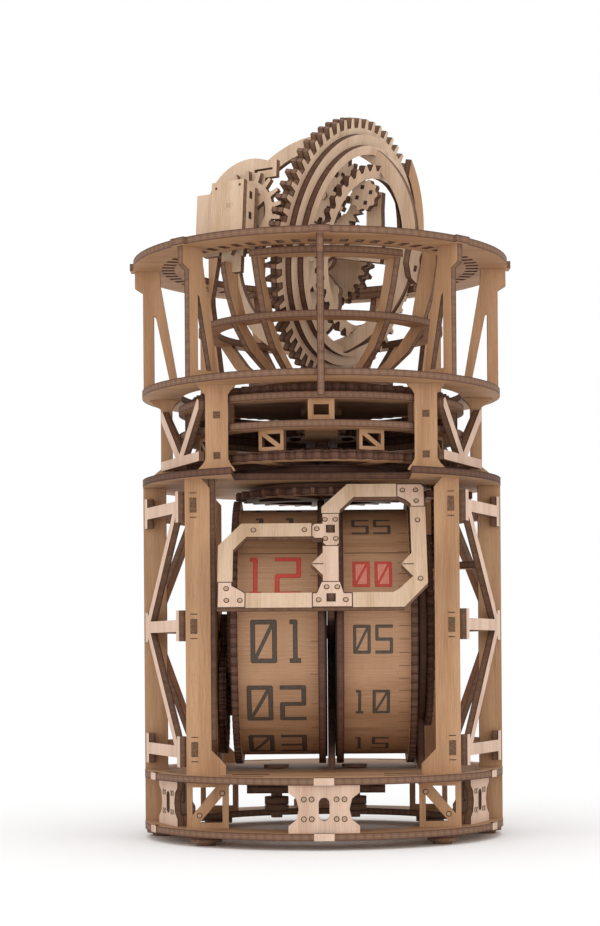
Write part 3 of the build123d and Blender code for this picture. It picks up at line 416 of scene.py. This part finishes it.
# ---------------------------------------------------------------- drums
# Three bearing plates carry the arbor of two drums, hours on the left and minutes on the right. Each
# drum is two toothed birch flanges with a thin skin bent round them, and the motion work joins them.
for piece in ("left_bearing_plate", "centre_bearing_plate", "right_bearing_plate", "drum_arbor",
              "hour_drum_flanges", "minute_drum_flanges", "minute_wheel", "motion_pinion", "hour_wheel",
              "motion_lay"):
    dress(piece, birch, shaded_edge)

# A single thin birch veneer, bent round: browner than the boards, with the same grain and as matt.
skin = veneer("thin_skin_veneer", "#B18A69", "#A17B5D", "#8C6849")
for piece in ("hour_drum_face", "minute_drum_face"):
    dress(piece, skin, edge, (1, 0, 0))

# The numerals and ticks are burnt into the skins while these are flat: twelve hours, and sixty minutes
# numbered in fives. The top hour and the zero minutes are stained red.
FACE_R = 54 * MM
AXIS_Z = 89.5 * MM
PROUD = 0.06 * MM
TALL, WIDE, STROKE = 18.3 * MM, 11.05 * MM, 2.0 * MM
ONE_WIDE, ONE_STROKE = 4.7 * MM, 1.4 * MM
SLASH_STROKE = 1.6 * MM
CHAMFER = 0.6 * MM
RIM_LINE = 0.25 * MM
BEHIND = 0.01 * MM
CELLS = {"0": "####.##.##.####", "1": "##..#..#..#.###", "2": "###..#####..###", "3": "###..####..####",
         "4": "#.##.####..#..#", "5": "####..###..####", "6": "####..####.####", "7": "###..#..#..#..#",
         "8": "####.#####.####", "9": "####.####..####"}
# A burnt numeral: grey-brown and dull, a little lighter in its specks.
burnt = scorch_and_shade("burnt_numeral", "#3F3730", "#574C42", 0.5 * MM)
# A tick scored with a fast, faint pass: brown and not black.
tick_line = scorch_and_shade("fine_scored_tick", "#5C3F2C", "#755540", 0.4 * MM)
# Red stain rubbed into the burnt numeral: brick red, matt, and the wood still shows as specks.
red = scorch_and_shade("red_stain", "#A8392E", "#BB4A3D", 0.6 * MM)
# The same stain where it has run into the scored outline, so deeper.
dark_red = scorch_and_shade("dark_red_outline", "#8C2A22", "#9C3329", 0.6 * MM)
# A thin wash of it inside the noughts: pale, with the birch showing through.
blush = scorch_and_shade("pale_red_wash", "#BE7260", "#CB8471", 0.8 * MM)


def slab(x, z, wide, tall, lean=0.0, y=0.0):
    """A flat upright rectangle facing forwards, turned anticlockwise by lean."""
    bpy.ops.mesh.primitive_plane_add(size=1, location=(x, y, z), rotation=(pi / 2, -lean, 0))
    bpy.context.object.scale = (wide, tall, 1)
    bpy.ops.object.transform_apply(location=False, rotation=True, scale=True)
    return bpy.context.object


def numeral(sign):
    """One flat numeral and its width: a frame of three by five cells with the empty ones left out."""
    wide, side = (ONE_WIDE, ONE_STROKE) if sign == "1" else (WIDE, STROKE)
    across = (-wide / 2, -wide / 2 + side, wide / 2 - side, wide / 2)
    down = (TALL / 2, TALL / 2 - STROKE, STROKE / 2, -STROKE / 2, STROKE - TALL / 2, -TALL / 2)
    full = {(row, col) for row in range(5) for col in range(3) if CELLS[sign][3 * row + col] == "#"}
    bends = []
    cells = []
    for row, col in sorted(full):
        x0, x1, z1, z0 = across[col], across[col + 1], down[row], down[row + 1]
        cells.append(slab((x0 + x1) / 2, (z0 + z1) / 2, x1 - x0, z1 - z0))
        left, right, over, under = [step in full for step in ((row, col - 1), (row, col + 1), (row - 1, col),
                                                              (row + 1, col))]
        if left != right and over != under:
            bends.append((x0 if right else x1, z0 if over else z1))
    piece = joined("numeral_" + sign, cells)
    bpy.ops.object.mode_set(mode="EDIT")
    bpy.ops.mesh.select_all(action="SELECT")
    bpy.ops.mesh.remove_doubles(threshold=0.01 * MM)
    choose(piece, "vertices", lambda co: any(hypot(co.x - x, co.z - z) < 0.1 * MM for x, z in bends))
    bpy.ops.mesh.bevel(offset=CHAMFER, affect="VERTICES")
    bpy.ops.mesh.select_mode(type="FACE")
    bpy.ops.mesh.select_all(action="SELECT")
    bpy.ops.mesh.inset(thickness=RIM_LINE, use_boundary=True)
    bpy.ops.object.mode_set(mode="OBJECT")
    piece.data.materials.append(burnt)
    piece.data.materials.append(scored_and_hole_shade)
    for face in piece.data.polygons:
        face.material_index = 0 if face.select else 1
    if sign == "0":
        run, rise = wide - 2 * side, TALL - 2 * STROKE
        slash = slab(0, 0, hypot(run, rise), SLASH_STROKE, atan2(rise, run), -BEHIND)
        slash.data.materials.append(burnt)
        piece = joined("numeral_0", [piece, slash])
    return piece, wide


patterns = {sign: numeral(sign) for sign in CELLS}


def copy_of(piece, x, z, size):
    """A copy of a flat piece with its own mesh, moved and scaled in its plane."""
    twin = piece.copy()
    twin.data = piece.data.copy()
    bpy.context.collection.objects.link(twin)
    twin.location = (x, 0, z)
    twin.scale = (size, 1, size)
    return twin


def printed(name, words, size, middle, start, ticks, tick, seam, body):
    """Everything burnt into one skin, made flat at its length along the skin and bent round the drum.

    Words of two numerals are set at the middle from the angle start down, ticks between two places across."""
    space, one_before, one_after = 2.9 * MM, 2.4 * MM, 2.9 * MM
    seam_angle, seam_tall, tick_tall, bend_step = 37.3, 0.35 * MM, 0.3 * MM, 3
    flat = []
    for place, word in enumerate(words):
        z = FACE_R * radians((start - 360 / len(words) * place + 180) % 360 - 180)
        bearings = [(one_before, one_after) if sign == "1" else (0, 0) for sign in word]
        widths = [patterns[sign][1] for sign in word]
        gap = space + bearings[0][1] + bearings[1][0]
        pen = -(widths[0] + gap + widths[1]) / 2
        for sign, wide, skip in zip(word, widths, (0, gap)):
            pen += skip
            mark = copy_of(patterns[sign][0], middle + size * (pen + wide / 2), z, size)
            pen += wide
            flat.append(mark)
            if place == 0:
                mark.data.materials[0] = red
                mark.data.materials[1] = dark_red
                if sign == "0":
                    wash = slab(mark.location.x, z, size * (wide - STROKE), size * (TALL - STROKE), y=BEHIND)
                    wash.data.materials.append(blush)
                    flat.append(wash)
    step = FACE_R * radians(360 / ticks)
    lowest = FACE_R * radians(start) % step - FACE_R * pi
    first = slab((tick[0] + tick[1]) / 2, lowest, tick[1] - tick[0], tick_tall)
    rows = first.modifiers.new("round_the_drum", "ARRAY")
    rows.count = ticks
    rows.use_relative_offset = False
    rows.use_constant_offset = True
    rows.constant_offset_displace = (0, 0, step)
    only(first)
    bpy.ops.object.modifier_apply(modifier=rows.name)
    first.data.materials.append(tick_line)
    low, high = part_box(seam)
    butt = slab((low[0] + high[0]) / 2, FACE_R * radians(seam_angle), high[0] - low[0] - MM, seam_tall)
    butt.data.materials.append(scored_and_hole_shade)
    piece = joined(name, [first, butt, *flat])
    bpy.ops.object.mode_set(mode="EDIT")
    for angle in range(-180 + bend_step, 180, bend_step):
        bpy.ops.mesh.select_all(action="SELECT")
        bpy.ops.mesh.bisect(plane_co=(0, 0, FACE_R * radians(angle)), plane_no=(0, 0, 1))
    bpy.ops.object.mode_set(mode="OBJECT")
    heights = [vertex.co.z for vertex in piece.data.vertices]
    bend = piece.modifiers.new("bent_round", "SIMPLE_DEFORM")
    bend.deform_method = "BEND"
    bend.deform_axis = "X"
    bend.angle = (max(heights) - min(heights)) / FACE_R
    bpy.ops.object.modifier_apply(modifier=bend.name)
    piece.location = (0, -FACE_R - PROUD, AXIS_Z)
    bpy.ops.object.transform_apply(location=True)
    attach(piece, body)


hours = ["12"] + ["%02d" % hour for hour in range(1, 12)]
printed("hour_numerals", hours, size=1.0, middle=-19.7 * MM, start=25.3, ticks=24,
        tick=(-5.2 * MM, -0.7 * MM), seam="hour_drum_face", body="hour_drum")
minutes = ["%02d" % minute for minute in range(0, 60, 5)]
printed("minute_numerals", minutes, size=0.665, middle=20.9 * MM, start=26, ticks=60,
        tick=(31.8 * MM, 36.4 * MM), seam="minute_drum_face", body="minute_drum")
for piece, _ in patterns.values():
    bpy.data.objects.remove(piece)


def round_board(outer, hole, at, along, up, teeth=0, deep=0.0, thick=BOARD, corners=96):
    """A round board about a point, plain or toothed, with a round hole."""
    count = 4 * teeth or corners
    bpy.ops.object.select_all(action="DESELECT")
    bpy.ops.mesh.primitive_circle_add(vertices=count, radius=outer)
    board = bpy.context.object
    bpy.ops.object.mode_set(mode="EDIT")
    if teeth:
        choose(board, "vertices", lambda co: round(atan2(co.y, co.x) / (2 * pi) * count) % 4 > 1)
        bpy.ops.transform.resize(value=(1 - deep / outer, 1 - deep / outer, 1), center_override=(0, 0, 0))
    bpy.ops.mesh.select_mode(type="EDGE")
    if hole:
        bpy.ops.mesh.primitive_circle_add(vertices=count, radius=hole)
        bpy.ops.mesh.select_all(action="SELECT")
        bpy.ops.mesh.bridge_edge_loops()
    else:
        bpy.ops.mesh.select_all(action="SELECT")
        bpy.ops.mesh.edge_face_add()
    thicken(thick)
    stand(board, at, along, up)
    return board


# A thin near-black disc lies on each drum's inner flange, next to the bearing plate between them: painted
# shade for the gaps there.

# Painted shade: a dull near-black that darkens the gaps beside the plate.
gap_shade = scorch_and_shade("painted_gap_shade", "#1C1512", "#2C211B", 0.6 * MM)
SLACK = 0.25 * MM
GAP_SHADE_R, GAP_SHADE_HOLE = 55 * MM, 6 * MM
plate_low, plate_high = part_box("centre_bearing_plate")
hour_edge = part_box("hour_drum_flanges")[1][0]
minute_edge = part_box("minute_drum_flanges")[0][0]
hour_room = plate_low[0] - hour_edge - SLACK
minute_room = minute_edge - plate_high[0] - SLACK
for drum, x, room in (("hour_drum", hour_edge, hour_room),
                      ("minute_drum", minute_edge - minute_room, minute_room)):
    gap_shade_disc = round_board(GAP_SHADE_R, GAP_SHADE_HOLE, RIGHT * x + UP * AXIS_Z, FORTH, UP, thick=room)
    fitted(drum + "_washer", [gap_shade_disc], drum, gap_shade, gap_shade)

# ---------------------------------------------------------------- windows
# Two pale frames lean back over the drums. Their ends are butted into corner and joint plates of the
# fairest sheet, which are pegged on and scored round, and a short line is scored into each pointer.

# Pale birch: cream with a little brown in it, the grain fine and even.
pale_birch = veneer("pale_birch_veneer", "#D2B79D", "#C7AB91", "#B69779")
for piece in ("hour_window", "minute_window"):
    dress(piece, pale_birch)
dress("window_joints", fair_birch)

# The windows lean back by 30 degrees. Their pegs are measured from a point on their front face, which
# stands this far out from the drums' arbor and is slid down its own slope.
slope = Vector((0, 0.5, 0.866025))
out = Vector((0, -0.866025, 0.5))
WINDOW_OUT, WINDOW_DROP = 65.7 * MM, 3 * MM
GLASS = AXIS_Z * UP + out * WINDOW_OUT - slope * WINDOW_DROP
pegs("window_pegs", "frame", [
    (-28.7, 13.8), (-7.4, 13.8), (-2.2, 14.2), (1.2, 18.9), (5.6, 18.9), (1.3, 9.3), (5.7, 9.3), (1.7, -14.4),
    (6.1, -14.4), (-1.6, -20.6), (9.5, -20.6), (-39.6, -14.9), (-39.4, -20.6), (-33.9, -20.6), (34.1, 33.5),
    (39.6, 33.5), (39.7, 28.0), (40.0, 18.3), (40.4, -10.6)], GLASS, RIGHT, slope)
bpy.data.objects.remove(peg)

# The scored outlines are the joint plates' own front faces, cut down to their rims.
OUTLINE = 0.4 * MM
POINTER_LINE = 0.45
LIFT = out * 0.05 * MM
BAR_X, BAR_HALF, BAR_LOW, BAR_HIGH = 2.5 * MM, 8 * MM, -11.5 * MM, 5.5 * MM
rim = bpy.data.objects.new("joint_outlines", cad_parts["window_joints"].data.copy())
bpy.context.collection.objects.link(rim)
rim.data.materials.clear()
only(rim)
bpy.ops.object.mode_set(mode="EDIT")
bpy.ops.mesh.select_all(action="SELECT")
bpy.ops.mesh.remove_doubles(threshold=0.001 * MM)
# all that isn't in front goes, and so does the long bar between the two middle joints
choose(rim, "polygons", lambda at: (at - GLASS) @ out < -0.01 * MM
       or abs(at.x - BAR_X) < BAR_HALF and BAR_LOW < (at - GLASS) @ slope < BAR_HIGH)
bpy.ops.mesh.delete(type="FACE")
bpy.ops.mesh.select_all(action="SELECT")
bpy.ops.mesh.inset(thickness=OUTLINE, use_boundary=True)
bpy.ops.mesh.delete(type="FACE")
bpy.ops.mesh.select_all(action="SELECT")
bpy.ops.transform.translate(value=LIFT)
bpy.ops.object.mode_set(mode="OBJECT")
lines = [rim]
for across, over, length in ((-1.9, -3.1, 4.8), (35.4, -3.5, 5.0)):
    bpy.ops.mesh.primitive_plane_add(size=MM)
    line = bpy.context.object
    turn = Matrix((RIGHT * length, slope * POINTER_LINE, out)).transposed().to_4x4()
    line.matrix_world = Matrix.Translation(GLASS + RIGHT * across * MM + slope * over * MM + LIFT) @ turn
    lines.append(line)
rim = joined("joint_outlines", lines)
rim.data.materials.append(scored_and_hole_shade)
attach(rim, "frame")

# Square pins are pushed through the two middle joint plates and end just under their face.
PIN_WIDE, PIN_TALL = 3.0, 3.2
PIN_SUNK = 0.3 * MM
studs("window_square_pins", "frame", [(3.5, 14.2), (3.5, -19.5)], PIN_WIDE, PIN_TALL, GLASS - out * PIN_SUNK,
      RIGHT, slope, tenon_end)

# ---------------------------------------------------------------- train storey
# Above the drums a level drive gear and its discs turn on the main arbor, under the birch plate that
# carries the train. A short arbor with a wheel and a pinion stands in a bracket beside them.
for piece in ("drive_gear", "transfer_arbor", "transfer_wheel", "transfer_bracket", "gear_discs",
              "setting_ring", "train_plate", "train_wheel", "train_lay", "main_arbor"):
    dress(piece, birch, shaded_edge)

# ---------------------------------------------------------------- middle storey
# Four short columns, two posts and fair V braces hold the gallery ring above the train plate. Two races
# with spacers and tabs run round between them, and flat segments fill the back between the races.
for piece in ("mid_columns", "mid_side_posts", "lower_race", "upper_race", "race_tabs"):
    dress(piece)
dress("mid_braces", fair_birch)

SEGMENT_OUTER, SEGMENT_INNER, SEGMENT_THICK = 57, 52.8, 2.7 * MM
SEGMENT_Z = (176.52, 179.4, 182.28)
arc = [(SEGMENT_OUTER * cos(radians(a)), SEGMENT_OUTER * sin(radians(a))) for a in range(15, 166, 5)]
arc += [(SEGMENT_INNER * cos(radians(a)), SEGMENT_INNER * sin(radians(a))) for a in range(165, 14, -5)]
segments = [cut_board(arc, UP * z * MM, RIGHT, FORTH, SEGMENT_THICK) for z in SEGMENT_Z]
fitted("race_segments", segments, "frame", birch, shaded_edge)

# Square tenon ends fill the holes in the four columns.
COLUMN_FACE = 51.3 * MM
COLUMN_PIN = 3.0
COLUMN_PINS = [(x, z) for x in (-43.75, 43.75) for z in (163, 180)]
for side, name in ((1, "front"), (-1, "back")):
    studs(name + "_column_pins", "frame", COLUMN_PINS, COLUMN_PIN, COLUMN_PIN, FORTH * -side * COLUMN_FACE,
          RIGHT * side, UP, tenon_end)

# ---------------------------------------------------------------- gallery
# Eight bent birch posts stand on the gallery ring and hold up the slotted top ring, each with its tabs
# pushed through both.
for piece in ("gallery_ring", "gallery_posts", "top_ring"):
    dress(piece)

# ---------------------------------------------------------------- basket and gearbox
# The basket that turns on the main arbor: ribs from a hub to the middle ring and the arcs above it, and
# arms that carry the cage's bearings and the gearbox. It is birch, with paler boards at the bearings.
for piece in ("carriage_hub", "middle_ring", "equator_arcs", "carriage_ribs", "carriage_arms"):
    dress(piece)
for piece in ("cage_bearings", "gearbox_pinion", "gearbox_cheeks"):
    dress(piece, pale_birch)

# A toothed crown wheel lies on the hub's sleeve, between the races and the gallery ring.
CROWN_R, CROWN_HOLE, CROWN_Z = 57 * MM, 5 * MM, 189.4 * MM
crown = round_board(CROWN_R, CROWN_HOLE, UP * CROWN_Z, RIGHT, FORTH, teeth=60, deep=2.2 * MM)
fitted("carriage_crown_wheel", [crown], "carriage", birch, shaded_edge)

# The cage leans on an axis through this point. The gearbox faces out from it, squarely to the pinion,
# and is closed by a wall on its right with two square pins. Its front plate is bare, with two pin holes
# near the top corners and the end of the pinion's arbor.
CAGE_AT = Vector((0, 0, 0.26))
AXIS = Vector((0.829516211, -0.518339257, -0.207911691))
OUT = Vector((-0.512535538, -0.854423524, 0.085251181))
BESIDE = UP.cross(OUT).normalized()
HIGH = OUT.cross(BESIDE)
PINION_BACK = 4.17 * MM
PLATE_OUT = 67.5 * MM
WALL_OUT, WALL_DEEP = 59.02 * MM, 5.96 * MM
WALL_IN, WALL_EDGE, WALL_LOW, WALL_HIGH = 4.4, 7.4, -11.5, 9
WALL_PIN_WIDE, WALL_PIN_TALL, PIN_HOLE, ARBOR_END = 2.0, 3.0, 0.9, 2.2
pinion_axis = CAGE_AT - AXIS * PINION_BACK
plate_face = pinion_axis + OUT * PLATE_OUT
wall_face = pinion_axis + BESIDE * WALL_EDGE * MM
wall = cut_board([(WALL_IN, WALL_LOW), (WALL_EDGE, WALL_LOW), (WALL_EDGE, WALL_HIGH), (WALL_IN, WALL_HIGH)],
                 pinion_axis + OUT * WALL_OUT, BESIDE, HIGH, WALL_DEEP)
fitted("gearbox_side_wall", [wall], "carriage", pale_birch, shaded_edge)
studs("gearbox_wall_pins", "carriage", [(-62, 5), (-62, -3.7)], WALL_PIN_WIDE, WALL_PIN_TALL, wall_face,
      -OUT, HIGH)
# The two pin holes are near-black patches on the front plate: painted shade in the holes.
studs("gearbox_pin_hole_shade", "carriage", [(-6.3, 7.8), (5.4, 8.2)], PIN_HOLE, PIN_HOLE, plate_face, BESIDE,
      HIGH)
studs("gearbox_arbor_end", "carriage", [(0, 0)], ARBOR_END, ARBOR_END, plate_face, BESIDE, HIGH, end_grain)

# ---------------------------------------------------------------- cage
# The tumbling cage: a toothed ring of two plies with a hoop and a bridge in it, which carry the escape
# wheel, the anchor and the balance. All are thin pale birch boards, pushed onto arbors and stubs.
for piece in ("cage_gear", "cage_band", "cage_bridge", "escape_wheel", "anchor", "balance_wheel"):
    dress(piece, pale_birch)
ACROSS = Vector((-0.529919264, -0.848048096, 0.0))
RISE = ACROSS.cross(AXIS)

# Two stepped rings and a toothed ring build the cage gear up on its right: radius, hole, and how far
# along the axis each lies.
STEP_RINGS = ((49.9, 45.0, 16.02), (45.4, 41.6, 19.04))
INNER_R, INNER_HOLE, INNER_ALONG = 37.6 * MM, 31.8 * MM, 22.5 * MM
steps = [round_board(outer * MM, hole * MM, CAGE_AT + AXIS * along * MM, -ACROSS, RISE)
         for outer, hole, along in STEP_RINGS]
fitted("cage_step_rings", steps, "cage", pale_birch, shaded_edge)
inner = round_board(INNER_R, INNER_HOLE, CAGE_AT + AXIS * INNER_ALONG, -ACROSS, RISE, teeth=36, deep=2.6 * MM)
fitted("cage_inner_teeth", [inner], "cage", pale_birch, shaded_edge)

# A spring barrel stands behind the balance: two toothed discs with a plain one between them, and the
# two dowels they turn on. Radius, hole, how far behind, teeth and their depth, and thickness.
TEETH_DEEP = 2.4
BARREL = ((22, 3.8, 15, 30, TEETH_DEEP, 3), (17, 3.8, 19.4, 0, 0, 4.38), (20, 3.8, 22.42, 24, TEETH_DEEP, 3))
DOWELS = ((4.1, 24, 13), (2.2, 23.5, 22.1))
BARREL_BACK = BARREL_LOW = 4 * MM
barrel_at = CAGE_AT - AXIS * BARREL_BACK - RISE * BARREL_LOW
barrel = [round_board(outer * MM, hole * MM, barrel_at - ACROSS * behind * MM, AXIS, RISE, teeth, deep * MM,
                      thick * MM) for outer, hole, behind, teeth, deep, thick in BARREL]
barrel += [round_board(outer * MM, 0, barrel_at - ACROSS * behind * MM, AXIS, RISE, thick=long * MM,
                       corners=24) for outer, behind, long in DOWELS]
fitted("cage_barrel", barrel, "cage", pale_birch, shaded_edge)

# A cock on the bridge holds a small studded disc out on a dowel in front of the escape wheel: its
# outline, and how far out the cock, the dowel, the disc and the studs begin.
COCK = [(-2.5, 3), (4, 3), (5, -4), (9, -22), (9, -27), (-2, -27), (-2, -22), (-1, -12), (-2.5, -4)]
COCK_OUT, DOWEL_OUT, DISC_OUT, STUDS_OUT = [ACROSS * reach * MM for reach in (1.6, 4.5, 9.4, 12.4)]
DISC_R, DOWEL_R, DOWEL_LONG, STUD = 6.8 * MM, 2 * MM, 5 * MM, 1.7
COCK_ALONG, COCK_HIGH = 26 * MM, 23 * MM
cock_at = CAGE_AT + AXIS * COCK_ALONG + RISE * COCK_HIGH
cock = [cut_board(COCK, cock_at + COCK_OUT, AXIS, RISE),
        round_board(DOWEL_R, 0, cock_at + DOWEL_OUT, AXIS, RISE, thick=DOWEL_LONG, corners=24),
        round_board(DISC_R, 0, cock_at + DISC_OUT, AXIS, RISE, teeth=10, deep=0.9 * MM)]
fitted("cage_cock", cock, "cage", pale_birch, shaded_edge)
studs("cock_studs", "cage", [(3.2, 1.4), (-1.4, 3.2), (-3.2, -1.4), (1.4, -3.2)], STUD, STUD,
      cock_at + STUDS_OUT, AXIS, RISE)

# ---------------------------------------------------------------- table, light and camera
# The model stands on a white table that runs out into a white backdrop, under two soft lamps at the
# sides, a broader one in front and one overhead. A level camera stands 0.9 m in front of it.
TABLE = 12.0
SHADOW_NEAR, SHADOW_FAR = 0.12, 0.5
bpy.ops.object.select_all(action="DESELECT")
bpy.ops.mesh.primitive_plane_add(size=TABLE, location=(0, 0, 0))
floor = bpy.context.object
floor.name = "table_top"
# White paper: matt, and it takes the model's shadow. Far from the model the camera sees it as plain
# white, so that no horizon shows.
paper, tree = material("white_paper")
seen = add(tree, "LightPath").outputs["Is Camera Ray"]
place = add(tree, "TexCoord").outputs["Object"]
far = add(tree, "VectorMath", {"operation": "LENGTH"}, {0: place})
fade = add(tree, "MapRange", {"From Min": SHADOW_NEAR, "From Max": SHADOW_FAR},
           {"Value": far.outputs["Value"]})
glow = add(tree, "Math", {"operation": "MULTIPLY"}, {0: seen, 1: fade.outputs["Result"]})
sheet = add(tree, "BsdfDiffuse", {"Color": paint("#FAFAFA")})
white = add(tree, "Emission", {"Color": paint("#FFFFFF"), "Strength": 1.0})
both = add(tree, "MixShader", {}, {0: glow.outputs[0], 1: sheet.outputs[0], 2: white.outputs[0]})
add(tree, "OutputMaterial", {}, {"Surface": both.outputs[0]})
floor.data.materials.append(paper)

# The room: an even white fill on the wood, and full white where the camera or a gloss looks past it.
world = bpy.data.worlds.new("soft_studio")
bpy.context.scene.world = world
world.use_nodes = True
tree = world.node_tree
tree.nodes.clear()
rays = add(tree, "LightPath")
either = add(tree, "Math", {"operation": "MAXIMUM"},
             {0: rays.outputs["Is Camera Ray"], 1: rays.outputs["Is Glossy Ray"]})
fill = add(tree, "Background", {"Color": paint("#FFFFFF"), "Strength": 0.95})
backdrop = add(tree, "Background", {"Color": paint("#FFFFFF"), "Strength": 1.0})
sky = add(tree, "MixShader", {}, {0: either.outputs[0], 1: fill.outputs[0], 2: backdrop.outputs[0]})
add(tree, "OutputWorld", {}, {"Surface": sky.outputs[0]})

# Each lamp: its name, where it stands in metres, how wide its disc is, and its power in watts.
middle = Vector((0, 0, 0.16))
for name, spot, size, power in (
        ("left_lamp", (-1.1, -1.0, 0.35), 1.0, 2.8), ("right_lamp", (1.1, -1.0, 0.35), 1.0, 2.8),
        ("front_lamp", (0, -1.7, 0.12), 1.2, 4.8), ("top_lamp", (0, -0.3, 1.6), 1.2, 3.5)):
    lamp = bpy.data.lights.new(name, "AREA")
    lamp.shape, lamp.size, lamp.energy = "DISK", size, power
    holder = bpy.data.objects.new(name, lamp)
    holder.location = spot
    holder.rotation_euler = (middle - Vector(spot)).to_track_quat("-Z", "Y").to_euler()
    bpy.context.collection.objects.link(holder)

CAMERA_BACK, CAMERA_Z = 0.9, 0.0793
shot = bpy.data.cameras.new("camera")
shot.lens = 78.9356371
shot.shift_x = -0.024838013
shot.shift_y = 0.20734341
camera = bpy.data.objects.new("camera", shot)
camera.location = (0, -CAMERA_BACK, CAMERA_Z)
camera.rotation_euler = (radians(90), radians(0.43), 0)
bpy.context.collection.objects.link(camera)
bpy.context.scene.camera = camera
bpy.context.scene.view_settings.view_transform = "Standard"
